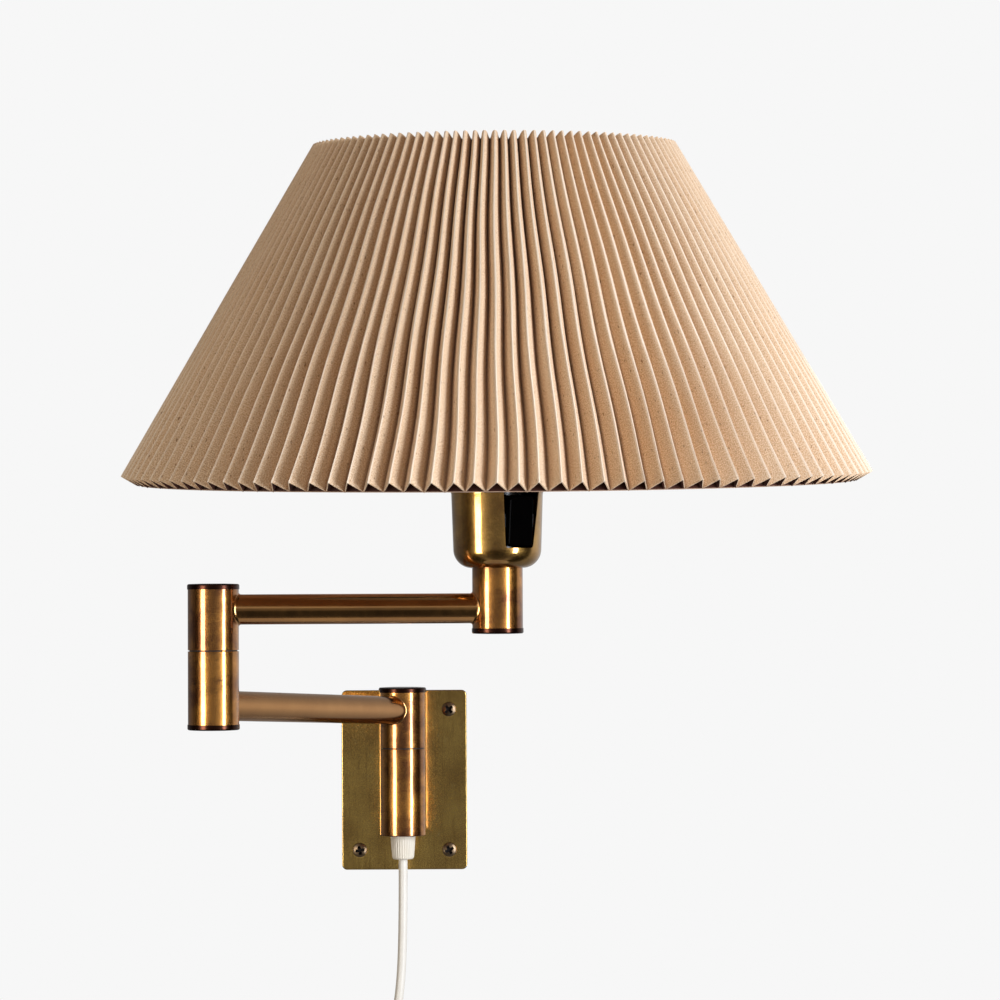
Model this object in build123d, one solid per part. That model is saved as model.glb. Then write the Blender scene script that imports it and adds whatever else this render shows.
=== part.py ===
from build123d import *
import math
import os

os.makedirs("parts", exist_ok=True)

# An articulating wall light: a plate screwed to the wall, a fixed sleeve with a turning
# knuckle on it, two swing arms joined by an elbow, and a lampholder cup that carries a
# pleated cone shade. All lengths are in millimetres. The origin is the middle of the
# plate's back face, +Z is up and -Y points out of the wall.

# Driving dimensions: how far and how high everything stands
hub_stand_off = 36.0
lower_arm_reach = 205.9
lower_arm_swing = 27.3  # degrees to the left of straight out of the wall
upper_arm_reach = 151.1
upper_arm_heading = 5.7  # degrees off parallel to the wall, towards it
wall_arm_height = 41.9
lower_arm_rise = 9.3
arm_pitch = 50.6
arm_radius = 8.0
arm_wall = 1.5

# Hub tubes, which every knuckle and the fixed sleeve are cut from
hub_radius = 13.5
hub_wall = 2.0
knuckle_height = 35.2
arm_inset = 13.8
elbow_arm_inset = 13.2
sleeve_drop = 30.5
sleeve_floor = 3.0
sleeve_edge_round = 0.6
cap_height = 2.5
cap_overhang = 0.3
cap_edge_round = 1.0
cap_spigot = 4.0

# Pivots inside the hubs
pivot_radius = 6.0
pivot_wall = 2.0
running_gap = 0.05
loose_gap = 0.3
bush_height = 10.0
collar_height = 14.0
thrust_washer_height = 0.5
thrust_washer_play = 0.1
thrust_washer_inset = 0.8
friction_washer_height = 0.8
friction_washer_radius = 9.0
nut_across_flats = 17.0
nut_height = 4.5
pivot_end_proud = 1.0

# Wall plate and its screws
plate_width = 74.0
plate_height = 106.0
plate_thickness = 4.0
plate_corner_round = 3.0
plate_edge_round = 0.8
screw_spacing_x = 53.0
screw_spacing_z = 83.0
screw_neck_radius = 2.25
screw_shank_radius = 2.0
screw_head_radius = 4.15
screw_head_dome = 1.1
screw_length = 28.0
screw_point = 5.0
recess_length = 4.6
recess_width = 0.9
recess_depth = 1.7
stem_radius = 8.0
stem_screw_radius = 3.0
stem_screw_head_radius = 6.0
stem_screw_depth = 12.0
stem_screw_recess = 0.3

# Cord grip under the sleeve
grip_height = 13.8
grip_top_radius = 7.3
grip_foot_radius = 6.25
grip_rib_count = 30
grip_rib_depth = 0.35
grip_shank_radius = 5.0
grip_shank_height = 7.0

# Cup at the head
cup_height = 42.4
cup_round = 10.0
cup_wall = 1.0
cup_flare = 1.0
cup_lip_height = 2.6
cup_lip_flare = 0.7
window_azimuth = 34.0  # degrees from straight out, to the right
window_sill = 10.3
window_foot_width = 17.6
window_top_width = 21.4
window_corner_round = 1.6

# Lampholder
nipple_radius = 5.0
nipple_bore_radius = 3.5
nipple_nut_across_flats = 14.0
nipple_nut_height = 3.0
holder_base_radius = 13.5
holder_base_height = 39.0
holder_base_pocket = 7.5
holder_skirt_radius = 20.0
holder_skirt_rise = 22.0
holder_floor = 2.0
holder_flange_height = 2.2
socket_shell_radius = 14.6
socket_shell_wall = 1.1
socket_shell_height = 22.0
contact_radius = 4.5
contact_height = 1.2

# Rocker switch in the cup's window
rocker_width = 14.8
rocker_height = 27.0
rocker_back_radius = 15.9
rocker_face_radius = 23.4
rocker_edge_round = 2.4
rocker_sill_gap = 1.0
rocker_tilt = 4.0  # degrees, foot pressed in
rocker_pin_radius = 1.2
rocker_pin_distance = 18.1
rocker_ear_wall = 2.0
rocker_ear_height = 7.0
rocker_ear_gap = 0.3
rocker_ear_reach = 2.0

# Shade: a cone of folded cloth round a smooth liner
shade_foot_radius = 200.0
shade_top_radius = 96.5
shade_height = 176.5
shade_rim_height = 172.5
shade_lean = 3.0  # degrees, top towards the room
pleat_count = 114
pleat_depth_foot = 9.4
pleat_depth_top = 8.0
pleat_cloth = 1.0
liner_gap = 0.3
liner_wall = 0.9
ring_wire_radius = 1.5
ring_gap = 0.1
ring_inset = 4.0
carrier_ring_width = 6.0
carrier_ring_height = 1.4
carrier_leg_count = 3
carrier_leg_radius = 1.5
carrier_leg_turn = 90.0  # degrees, so that one leg points at the wall
ring_nut_width = 3.2
ring_nut_height = 6.0

# Lamp bulb
bulb_radius = 30.0
bulb_length = 105.0
bulb_cap_radius = 13.2
bulb_cap_height = 25.0
bulb_tip_radius = 4.8
bulb_tip_height = 2.4
bulb_neck_radius = 12.6
bulb_glass_wall = 0.8
bulb_seat_gap = 0.1

# Mains cord with its put-away coil and plug
cord_radius = 2.6
coil_radius = 32.5
coil_gap = 0.6
coil_half_turns = 4
coil_last_half_turns = 3
coil_sample_count = 900
cord_tail = 44.0
tie_width = 4.0
tie_wall = 1.0
tie_gap = 0.5
relief_height = 20.0
relief_top_radius = 3.5
relief_foot_radius = 4.6
plug_height = 30.0
plug_neck_width = 15.0
plug_neck_depth = 10.0
plug_width = 33.0
plug_depth = 13.7
plug_round = 3.5
pin_radius = 2.0
pin_length = 19.0
pin_spacing = 18.6
pin_root = 3.0

# Overrun for cuts that go right through
overrun = 1.0

# Hub axes seen from above, and the heights that follow from the driving dimensions
swing = math.radians(lower_arm_swing)
heading = math.radians(upper_arm_heading)
wall_axis = (0, -hub_stand_off)
elbow_axis = (
    wall_axis[0] - lower_arm_reach * math.sin(swing),
    wall_axis[1] - lower_arm_reach * math.cos(swing),
)
head_axis = (
    elbow_axis[0] + upper_arm_reach * math.cos(heading),
    elbow_axis[1] + upper_arm_reach * math.sin(heading),
)
bore_radius = hub_radius - hub_wall
seam = thrust_washer_height + thrust_washer_play
elbow_arm_height = wall_arm_height + lower_arm_rise
upper_arm_height = elbow_arm_height + arm_pitch
wall_seam_height = wall_arm_height + arm_inset - knuckle_height
elbow_seam_height = upper_arm_height + arm_inset - knuckle_height
elbow_foot_height = elbow_arm_height - elbow_arm_inset
head_foot_height = upper_arm_height - arm_inset
head_top_height = head_foot_height + knuckle_height
cup_top_height = head_top_height + cup_height
flange_top_height = cup_top_height + holder_flange_height


def keep(name, shape):
    """Name a sub-part and write it to its own file."""
    shape.label = name
    export_step(shape, f"parts/{name}.step")


def disc(axis, low, high, radius, bore=0):
    """An upright disc, ring or tube on an axis, between two heights."""
    section = Circle(radius)
    if bore > 0:
        section -= Circle(bore)
    return extrude(Pos(axis[0], axis[1], low) * section, high - low)


def rod(start, end, radius, bore=0):
    """A round bar or tube from one point to another."""
    run = Vector(*end) - Vector(*start)
    section = Circle(radius)
    if bore > 0:
        section -= Circle(bore)
    return extrude(Plane(origin=start, z_dir=run) * section, run.length)


def turned(outline, axis=(0, 0), height=0):
    """Turn an outline of radius and height about an upright axis."""
    return Pos(axis[0], axis[1], height) * revolve(Plane.XZ * make_face(outline), Axis.Z)


def hex_nut(axis, low, height, across_flats, bore):
    """A thin hexagon nut round a tube."""
    section = RegularPolygon(across_flats / 2, 6, major_radius=False) - Circle(bore)
    return extrude(Pos(axis[0], axis[1], low) * section, height)


# Wall plate with countersunk holes, the screws that fill them and the stem behind the hub
screw_places = [
    (side * screw_spacing_x / 2, level * screw_spacing_z / 2)
    for side in (-1, 1)
    for level in (-1, 1)
]
plate_front = -plate_thickness
countersink_depth = screw_head_radius - screw_neck_radius


def wood_screw():
    """A raised countersunk screw with a cross recess, its head towards +Z."""
    dome_height = screw_head_dome
    outline = Polyline(
        (0, -plate_thickness - screw_length),
        (screw_shank_radius, -plate_thickness - screw_length + screw_point),
        (screw_shank_radius, -plate_thickness),
        (screw_neck_radius, -plate_thickness),
        (screw_neck_radius, -countersink_depth),
        (screw_head_radius, 0),
    )
    crown = ThreePointArc(
        (screw_head_radius, 0),
        (screw_head_radius / 2, dome_height * 3 / 4),
        (0, dome_height),
    )
    middle = Line((0, dome_height), (0, -plate_thickness - screw_length))
    screw = turned(outline + crown + middle)
    for quarter in (0, 90):
        slot = Box(recess_length, recess_width, 2 * recess_depth)
        screw -= Pos(0, 0, dome_height) * Rot(0, 0, quarter) * slot
    return screw


plate = extrude(Plane.XZ * RectangleRounded(plate_width, plate_height, plate_corner_round), plate_thickness)
plate = fillet(plate.faces().sort_by(Axis.Y)[0].edges(), plate_edge_round)
screws = []
for x, z in screw_places:
    place = Plane(origin=(x, plate_front, z), x_dir=(1, 0, 0), z_dir=(0, -1, 0)).location
    hole = Pos(0, 0, -plate_thickness / 2) * Cylinder(screw_neck_radius + loose_gap, plate_thickness + overrun)
    sink = Pos(0, 0, -countersink_depth / 2) * Cone(screw_neck_radius, screw_head_radius, countersink_depth)
    plate -= place * (hole + sink)
    screws.append(place * wood_screw())

sleeve_top = wall_seam_height - seam
stem_height = (sleeve_top - sleeve_drop) / 2
stem_back = (0, plate_front, stem_height)
stem_front = (0, -hub_stand_off, stem_height)
stem_screw_end = (0, plate_front - stem_screw_depth, stem_height)
stem_hole = rod((0, 0, stem_height), stem_screw_end, stem_screw_radius)
stem_head_depth = stem_screw_head_radius - stem_screw_radius
stem_head_start = -stem_screw_recess
behind = Plane(origin=(0, stem_head_start - stem_head_depth / 2, stem_height), z_dir=(0, 1, 0)).location
stem_head = behind * Cone(stem_screw_radius, stem_screw_head_radius, stem_head_depth)
stem_well = rod((0, 0, stem_height), (0, stem_head_start, stem_height), stem_screw_head_radius)
plate -= stem_hole + stem_head + stem_well
keep("wall_plate", plate)
keep("plate_screws", Compound(children=screws))

stem = rod(stem_back, stem_front, stem_radius)
stem -= disc(wall_axis, -sleeve_drop, sleeve_top, hub_radius)
keep("hub_stem", stem - stem_hole)
keep("stem_screw", stem_head + rod((0, stem_head_start, stem_height), stem_screw_end, stem_screw_radius))


# Pivots: a collar holds the pivot tube in the lower hub, and a bush runs on it in the upper
def hub_cap(axis, height, upwards):
    """A turned plug over the open end of a hub tube."""
    cap = extrude(Circle(hub_radius + cap_overhang), cap_height)
    cap = fillet(cap.edges().sort_by(Axis.Z)[-1], cap_edge_round)
    cap += Pos(0, 0, -cap_spigot / 2) * Cylinder(bore_radius, cap_spigot)
    turn = Rot(0, 0, 0) if upwards else Rot(180, 0, 0)
    return Pos(axis[0], axis[1], height) * turn * cap


def pivot(name, axis, seam_height):
    """The fixed collar, tube, washers and nut of a hub, and the bush that turns on them."""
    lower_top = seam_height - seam
    bush_top = seam_height + bush_height
    washer_top = bush_top + thrust_washer_play + friction_washer_height
    nut_top = washer_top + nut_height
    collar = disc(axis, lower_top - collar_height, lower_top, bore_radius, pivot_radius)
    tube = disc(
        axis, lower_top - collar_height, nut_top + pivot_end_proud, pivot_radius, pivot_radius - pivot_wall
    )
    thrust_low = lower_top + thrust_washer_play / 2
    thrust_radius = hub_radius - thrust_washer_inset
    thrust = disc(
        axis, thrust_low, thrust_low + thrust_washer_height, thrust_radius, pivot_radius + running_gap
    )
    bush = disc(axis, seam_height, bush_top, bore_radius, pivot_radius + running_gap)
    washer = disc(
        axis,
        washer_top - friction_washer_height,
        washer_top,
        friction_washer_radius,
        pivot_radius + running_gap,
    )
    keep(f"{name}_collar", collar)
    keep(f"{name}_pivot_tube", tube)
    keep(f"{name}_thrust_washer", thrust)
    keep(f"{name}_bush", bush)
    keep(f"{name}_friction_washer", washer)
    keep(f"{name}_pivot_nut", hex_nut(axis, washer_top, nut_height, nut_across_flats, pivot_radius))


def knuckle(axis, low, high, arm):
    """A length of hub tube with a side hole for the arm that is brazed into it."""
    return disc(axis, low, high, hub_radius, bore_radius) - arm


# Fixed wall sleeve with a floor for the cord grip
sleeve = disc(wall_axis, -sleeve_drop, sleeve_top, hub_radius)
sleeve = fillet(sleeve.edges().sort_by(Axis.Z)[0], sleeve_edge_round)
sleeve -= disc(wall_axis, sleeve_floor - sleeve_drop, sleeve_top + overrun, bore_radius)
sleeve -= disc(wall_axis, -sleeve_drop - overrun, sleeve_floor - sleeve_drop + overrun, grip_shank_radius)
keep("wall_sleeve", sleeve)
pivot("wall", wall_axis, wall_seam_height)

# Cord grip: a ribbed taper under the sleeve with a plain shank through its floor
grip_foot_height = -sleeve_drop - grip_height


def ribbed_outline(radius):
    """A round outline with one shallow groove between each pair of ribs."""
    half_step = math.pi / grip_rib_count
    points = [
        (
            (radius - grip_rib_depth * (i % 2)) * math.cos(i * half_step),
            (radius - grip_rib_depth * (i % 2)) * math.sin(i * half_step),
        )
        for i in range(2 * grip_rib_count)
    ]
    return Polyline(*points, close=True)


grip_top_face = Pos(0, -hub_stand_off, -sleeve_drop) * make_face(ribbed_outline(grip_top_radius))
grip_foot_face = Pos(0, -hub_stand_off, grip_foot_height) * make_face(ribbed_outline(grip_foot_radius))
grip = loft([grip_foot_face, grip_top_face], ruled=True)
grip += disc(wall_axis, -sleeve_drop, grip_shank_height - sleeve_drop, grip_shank_radius)
keep("cord_grip", grip)

# Lower arm with the wall knuckle on one end and the elbow's lower knuckle on the other
wall_arm_end = (wall_axis[0], wall_axis[1], wall_arm_height)
elbow_arm_end = (elbow_axis[0], elbow_axis[1], elbow_arm_height)
wall_cap_height = wall_arm_height + arm_inset - cap_height
elbow_lower_top = elbow_seam_height - seam
lower_arm_bar = rod(wall_arm_end, elbow_arm_end, arm_radius)
lower_arm = rod(wall_arm_end, elbow_arm_end, arm_radius, arm_radius - arm_wall)
lower_arm -= disc(wall_axis, wall_seam_height, wall_cap_height, bore_radius)
lower_arm -= disc(elbow_axis, elbow_foot_height, elbow_lower_top, bore_radius)
keep("wall_knuckle", knuckle(wall_axis, wall_seam_height, wall_cap_height, lower_arm_bar))
keep("wall_cap", hub_cap(wall_axis, wall_cap_height, True))
keep("lower_arm_tube", lower_arm)
elbow_lower_low = elbow_foot_height + cap_height
keep("elbow_lower_knuckle", knuckle(elbow_axis, elbow_lower_low, elbow_lower_top, lower_arm_bar))
keep("elbow_bottom_cap", hub_cap(elbow_axis, elbow_lower_low, False))
pivot("elbow", elbow_axis, elbow_seam_height)

# Upper arm with the elbow's upper knuckle and the head knuckle
upper_start = (elbow_axis[0], elbow_axis[1], upper_arm_height)
upper_end = (head_axis[0], head_axis[1], upper_arm_height)
elbow_top_low = upper_arm_height + arm_inset - cap_height
head_low = head_foot_height + cap_height
upper_arm_bar = rod(upper_start, upper_end, arm_radius)
upper_arm = rod(upper_start, upper_end, arm_radius, arm_radius - arm_wall)
upper_arm -= disc(elbow_axis, elbow_seam_height, elbow_top_low, bore_radius)
upper_arm -= disc(head_axis, head_low, head_top_height, bore_radius)
keep("elbow_upper_knuckle", knuckle(elbow_axis, elbow_seam_height, elbow_top_low, upper_arm_bar))
keep("elbow_top_cap", hub_cap(elbow_axis, elbow_top_low, True))
keep("upper_arm_tube", upper_arm)
keep("head_knuckle", knuckle(head_axis, head_low, head_top_height, upper_arm_bar))
keep("head_cap", hub_cap(head_axis, head_low, False))

# Threaded nipple that holds the cup on the head knuckle
collar_low = head_top_height - bush_height
nipple_nut_low = head_top_height + cup_wall
nipple_top = nipple_nut_low + nipple_nut_height + pivot_end_proud
keep("head_collar", disc(head_axis, collar_low, head_top_height, bore_radius, nipple_radius))
keep("head_nipple", disc(head_axis, collar_low, nipple_top, nipple_radius, nipple_bore_radius))
nipple_nut = hex_nut(
    head_axis, nipple_nut_low, nipple_nut_height, nipple_nut_across_flats, nipple_radius
)
keep("nipple_nut", nipple_nut)


# Lampholder cup: a spun bell whose round shoulder grows out of the knuckle
def shoulder(radius):
    """A quarter round about the shoulder's centre, from its foot outwards."""
    lean = math.radians(45)
    foot = (hub_radius, cup_round - radius)
    middle = (hub_radius + radius * math.sin(lean), cup_round - radius * math.cos(lean))
    return ThreePointArc(foot, middle, (hub_radius + radius, cup_round))


cup_side_radius = hub_radius + cup_round
lip_start = (cup_side_radius + cup_flare, cup_height - cup_lip_height)
lip_end = (lip_start[0] + cup_lip_flare, cup_height)
cup_outline = Line((nipple_radius, 0), (hub_radius, 0))
cup_outline += shoulder(cup_round)
cup_outline += Polyline(
    (cup_side_radius, cup_round),
    lip_start,
    lip_end,
    (lip_end[0] - cup_wall, lip_end[1]),
    (lip_start[0] - cup_wall, lip_start[1]),
    (cup_side_radius - cup_wall, cup_round),
)
cup_outline += shoulder(cup_round - cup_wall)
cup_outline += Polyline((hub_radius, cup_wall), (nipple_radius, cup_wall), (nipple_radius, 0))
cup = turned(cup_outline, head_axis, head_top_height)

facing = math.radians(window_azimuth)
window_plane = Plane(
    origin=(head_axis[0], head_axis[1], head_top_height),
    x_dir=(math.cos(facing), math.sin(facing), 0),
    z_dir=(math.sin(facing), -math.cos(facing), 0),
)
window_top = cup_height + overrun
window_outline = Polyline(
    (-window_top_width / 2, window_top),
    (-window_foot_width / 2, window_sill),
    (window_foot_width / 2, window_sill),
    (window_top_width / 2, window_top),
    close=True,
)
window_face = make_face(window_outline)
window_face = fillet(window_face.vertices().sort_by(Axis.Y)[:2], window_corner_round)
window_cut = extrude(window_plane * window_face, lip_end[0] + overrun)
keep("holder_cup", cup - window_cut)

# Holder base with ears for the rocker's pin, and the rocker itself
base_low = nipple_nut_low
base_top = base_low + holder_base_height
pin_height = window_sill + rocker_sill_gap + rocker_height / 2
base = disc(head_axis, base_low, base_top, holder_base_radius)
pocket_radius = nipple_nut_across_flats / math.sqrt(3) + loose_gap
base -= disc(head_axis, base_low - overrun, base_low + holder_base_pocket, pocket_radius)
ear_centre = rocker_width / 2 + rocker_ear_gap + rocker_ear_wall / 2
ear_reach = rocker_pin_distance + rocker_ear_reach
ear_middle = (holder_base_radius / 2 + ear_reach) / 2
for side in (-1, 1):
    ear = Box(rocker_ear_wall, rocker_ear_height, ear_reach - holder_base_radius / 2)
    base += window_plane.location * Pos(side * ear_centre, pin_height, ear_middle) * ear
pin_length_over_ears = 2 * (ear_centre + rocker_ear_wall / 2)
pin_place = window_plane.location * Pos(0, pin_height, rocker_pin_distance) * Rot(0, 90, 0)
switch_pin = pin_place * Cylinder(rocker_pin_radius, pin_length_over_ears)
keep("holder_base", base - switch_pin)
keep("switch_pin", switch_pin)

rocker_depth = rocker_face_radius - rocker_back_radius
rocker = Pos(0, 0, rocker_depth / 2 + rocker_back_radius) * Box(rocker_width, rocker_height, rocker_depth)
rocker = fillet(rocker.edges().filter_by(Axis.X).sort_by(Axis.Z)[-2:], rocker_edge_round)
face_drum = Rot(90, 0, 0) * Cylinder(rocker_face_radius, rocker_height + overrun)
pin_hole = Pos(0, 0, rocker_pin_distance) * Rot(0, 90, 0)
rocker = rocker & face_drum
rocker -= pin_hole * Cylinder(rocker_pin_radius + running_gap, rocker_width + overrun)
press = Pos(0, 0, rocker_pin_distance) * Rot(rocker_tilt, 0, 0) * Pos(0, 0, -rocker_pin_distance)
keep("switch_rocker", window_plane.location * Pos(0, pin_height, 0) * press * rocker)

# Lampholder skirt with the flange that sits on the cup's lip, and the socket inside it
skirt_top = flange_top_height + holder_skirt_rise
skirt = disc(head_axis, base_top, skirt_top, holder_skirt_radius)
skirt += disc(head_axis, cup_top_height, flange_top_height, lip_end[0])
skirt -= disc(head_axis, base_top + holder_floor, skirt_top + overrun, socket_shell_radius)
shell_low = base_top + holder_floor
shell_bore = socket_shell_radius - socket_shell_wall
keep("holder_skirt", skirt)
keep("socket_shell", disc(head_axis, shell_low, shell_low + socket_shell_height, socket_shell_radius, shell_bore))
keep("centre_contact", disc(head_axis, shell_low, shell_low + contact_height, contact_radius))

# Lamp bulb: a screw cap and a blown glass whose neck runs tangent into its ball
bulb_low = shell_low + contact_height + bulb_seat_gap
glass_low = bulb_cap_height
ball_height = bulb_length - bulb_radius
bulb_cap_outline = Polyline(
    (0, 0),
    (bulb_tip_radius, 0),
    (bulb_tip_radius, bulb_tip_height / 2),
    (bulb_cap_radius, 2 * bulb_tip_height),
    (bulb_cap_radius, glass_low),
    (0, glass_low),
    close=True,
)
keep("bulb_cap", turned(bulb_cap_outline, head_axis, bulb_low))


def blown_glass(shrink):
    """The glass's solid form, with every wall drawn in by the same amount."""
    ball = bulb_radius - shrink
    neck = bulb_neck_radius - shrink
    span = math.hypot(neck, ball_height - glass_low)
    slope = math.atan2(glass_low - ball_height, neck) + math.acos(ball / span)
    touch = (ball * math.cos(slope), ball_height + ball * math.sin(slope))
    waist = (slope + math.pi / 2) / 2
    crown = ThreePointArc(
        touch,
        (ball * math.cos(waist), ball_height + ball * math.sin(waist)),
        (0, ball_height + ball),
    )
    return turned(
        Line((0, glass_low), (neck, glass_low))
        + Line((neck, glass_low), touch)
        + crown
        + Line((0, ball_height + ball), (0, glass_low)),
        head_axis,
        bulb_low,
    )


keep("bulb_glass", blown_glass(0) - blown_glass(bulb_glass_wall))

# Shade frame: heights run up from the plane of the pleats' lower ridge tips
shade_slope = math.atan2(shade_foot_radius - shade_top_radius, shade_height)
slant = math.hypot(shade_foot_radius - shade_top_radius, shade_height)
outward = (math.cos(shade_slope), math.sin(shade_slope))
shade_place = Pos(head_axis[0], head_axis[1], shade_rim_height) * Rot(shade_lean, 0, 0)


def shade_point(share, inward):
    """Radius and height of a point at a share of the slant, some way inside the ridge line."""
    radius = shade_foot_radius + (shade_top_radius - shade_foot_radius) * share
    height = shade_height * share
    return (radius - inward * outward[0], height - inward * outward[1])


def pleat_depth(share):
    """How deep the folds are at a share of the slant."""
    return pleat_depth_foot + (pleat_depth_top - pleat_depth_foot) * share


def fold_corner(fold, share, layer):
    """A corner of the folded cloth. Even folds are ridges and odd folds are valleys."""
    inward = layer * pleat_cloth + (fold % 2) * pleat_depth(share)
    radius, height = shade_point(share, inward)
    turn = math.pi * fold / pleat_count
    return Vector(radius * math.sin(turn), -radius * math.cos(turn), height)


def pleated_cloth():
    """Folded cloth of one thickness, closed from flat three-cornered faces."""
    faces = []
    for fold in range(2 * pleat_count):
        near, far = fold, (fold + 1) % (2 * pleat_count)
        for first, second in (
            ((0, 0), (1, 0)),
            ((1, 0), (1, 1)),
            ((1, 1), (0, 1)),
            ((0, 1), (0, 0)),
        ):
            corners = [
                fold_corner(near, *first),
                fold_corner(far, *first),
                fold_corner(far, *second),
                fold_corner(near, *second),
            ]
            # The cloth's back is split along the same diagonal as its front
            if first[1] == 1:
                corners = corners[1:] + corners[:1]
            faces.append(Face(Wire.make_polygon(corners[:3])))
            faces.append(Face(Wire.make_polygon([corners[0], *corners[2:]])))
    return Solid(Shell(faces))


cloth_back_foot = pleat_depth(0) + pleat_cloth + liner_gap
cloth_back_top = pleat_depth(1) + pleat_cloth + liner_gap
liner_outline = Polyline(
    shade_point(0, cloth_back_foot),
    shade_point(1, cloth_back_top),
    shade_point(1, cloth_back_top + liner_wall),
    shade_point(0, cloth_back_foot + liner_wall),
    close=True,
)


def wire_ring(share):
    """Where a ring wire lies inside the liner: its radius and height."""
    return shade_point(
        share,
        pleat_depth(share) + pleat_cloth + liner_gap + liner_wall + ring_gap + ring_wire_radius,
    )


foot_ring = wire_ring(ring_inset / slant)
top_ring = wire_ring(1 - ring_inset / slant)
top_ring_wire = Pos(0, 0, top_ring[1]) * Torus(top_ring[0], ring_wire_radius)
keep("shade_pleats", shade_place * pleated_cloth())
keep("shade_liner", shade_place * turned(liner_outline))
keep("shade_top_ring", shade_place * top_ring_wire)
keep("shade_foot_ring", shade_place * Pos(0, 0, foot_ring[1]) * Torus(foot_ring[0], ring_wire_radius))

# Carrier: a flat ring on the holder's flange and legs that reach up to the shade's top ring
carrier_radius = holder_skirt_radius + loose_gap + carrier_ring_width
carrier_top = flange_top_height + carrier_ring_height
carrier = disc(
    head_axis, flange_top_height, carrier_top, carrier_radius, holder_skirt_radius + loose_gap
)
leg_start_radius = carrier_radius - carrier_leg_radius
for leg in range(carrier_leg_count):
    turn = math.radians(carrier_leg_turn + leg * 360 / carrier_leg_count)
    start = (
        head_axis[0] + leg_start_radius * math.cos(turn),
        head_axis[1] + leg_start_radius * math.sin(turn),
        flange_top_height + carrier_ring_height / 2,
    )
    on_ring = Vector(top_ring[0] * math.cos(turn), top_ring[0] * math.sin(turn), top_ring[1])
    end = (shade_place * Pos(*on_ring)).position
    carrier += rod(start, tuple(end), carrier_leg_radius)
carrier -= shade_place * top_ring_wire
carrier -= disc(head_axis, flange_top_height - carrier_leg_radius, flange_top_height, carrier_radius)
keep("shade_carrier", carrier.solids().sort_by(SortBy.VOLUME)[-1])
nut_bore = holder_skirt_radius + running_gap
keep(
    "shade_ring_nut",
    disc(head_axis, carrier_top, carrier_top + ring_nut_height, nut_bore + ring_nut_width, nut_bore),
)

# Mains cord: a free drop from the grip, then a tied coil, a tail and a plug.
# Each point is how far right of the grip and how far below its foot the cord is.
drop_route = [(0, 0), (0, 40), (-2, 80), (-9, 112), (-22, 138), (-22, 166)]
drop_points = [Vector(x, -hub_stand_off, grip_foot_height - z) for x, z in drop_route]


def arc_radii(points):
    """The largest radius that each corner's two runs allow."""
    radii = []
    for before, corner, after in zip(points, points[1:], points[2:]):
        run_in, run_out = corner - before, after - corner
        half_turn = math.radians(run_in.get_angle(run_out)) / 2
        radii.append(0.45 * min(run_in.length, run_out.length) / math.tan(half_turn))
    return radii


def tube(path):
    """The cord's round section along a path."""
    return sweep(Plane(origin=path @ 0, z_dir=path % 0) * Circle(cord_radius), path=path)


drop_radii = arc_radii(drop_points)
drop_path = Wire(FilletPolyline(*drop_points, radius=drop_radii).edges())
drop = tube(drop_path)
keep("cord_drop", drop)

coil_step = 2 * cord_radius + coil_gap
half_step = coil_step / 2


def radial(angle):
    """The unit vector at an angle in the coil's upright plane."""
    return Vector(math.cos(angle), 0, math.sin(angle))


def coil_path(start):
    """Half turns that spiral in and out again, climbing a layer where the spiral reverses."""
    edges = []
    point, angle, radius = start, math.pi, coil_radius
    layers = [(-1, coil_half_turns), (1, coil_half_turns), (-1, coil_half_turns), (1, coil_last_half_turns)]
    for number, (growth, half_turns) in enumerate(layers):
        for _ in range(half_turns):
            centre = point - radial(angle) * radius
            across = centre + radial(angle + math.pi / 2) * radius
            end = centre + radial(angle + math.pi) * radius
            edges.append(Edge.make_three_point_arc(point, across, end))
            point, angle = end, angle + math.pi
            radius += growth * half_step
        if number + 1 < len(layers):
            along = radial(angle + math.pi / 2)
            end = point - radial(angle) * (2 * radius) + Vector(0, coil_step, 0)
            reach = (end - point).length / 2
            crest = (point + end) / 2 + along * reach
            turning = (end + along * reach) - (point + along * reach)
            edges.append(Edge.make_tangent_arc(point, along, crest))
            edges.append(Edge.make_tangent_arc(crest, turning.normalized(), end))
            point, angle = end, angle + math.pi
            radius -= growth * half_step
    return Wire(edges)


coil_start = drop_points[-1]
coil = coil_path(coil_start)
keep("cord_coil", tube(coil))
coil_end = coil @ 1
tail_end = coil_end - Vector(0, 0, cord_tail)
tail_path = Wire([Edge.make_line(coil_end, tail_end)])
keep("cord_tail", tube(tail_path))

# Tie: a flat band round the coil's bundle at its top, sized from the turns that pass there
coil_middle = coil_start.X + coil_radius
coil_samples = [coil @ (i / coil_sample_count) for i in range(coil_sample_count + 1)]
bundle = [
    point
    for point in coil_samples
    if point.Z > coil_start.Z and abs(point.X - coil_middle) < tie_width
]
bundle_low = min(point.Z for point in bundle) - cord_radius - tie_gap
bundle_high = max(point.Z for point in bundle) + cord_radius + tie_gap
bundle_back = max(point.Y for point in bundle) + cord_radius + tie_gap
bundle_front = min(point.Y for point in bundle) - cord_radius - tie_gap
bundle_depth = bundle_back - bundle_front
bundle_height = bundle_high - bundle_low
tie_centre = (
    coil_middle - tie_width / 2,
    (bundle_front + bundle_back) / 2,
    (bundle_low + bundle_high) / 2,
)
tie_plane = Plane(origin=tie_centre, x_dir=(0, 1, 0), z_dir=(1, 0, 0))
tie_outline = RectangleRounded(
    bundle_depth + 2 * tie_wall, bundle_height + 2 * tie_wall, cord_radius + tie_wall
)
tie_outline -= RectangleRounded(bundle_depth, bundle_height, cord_radius)
keep("cord_tie", extrude(tie_plane * tie_outline, tie_width))

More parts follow.
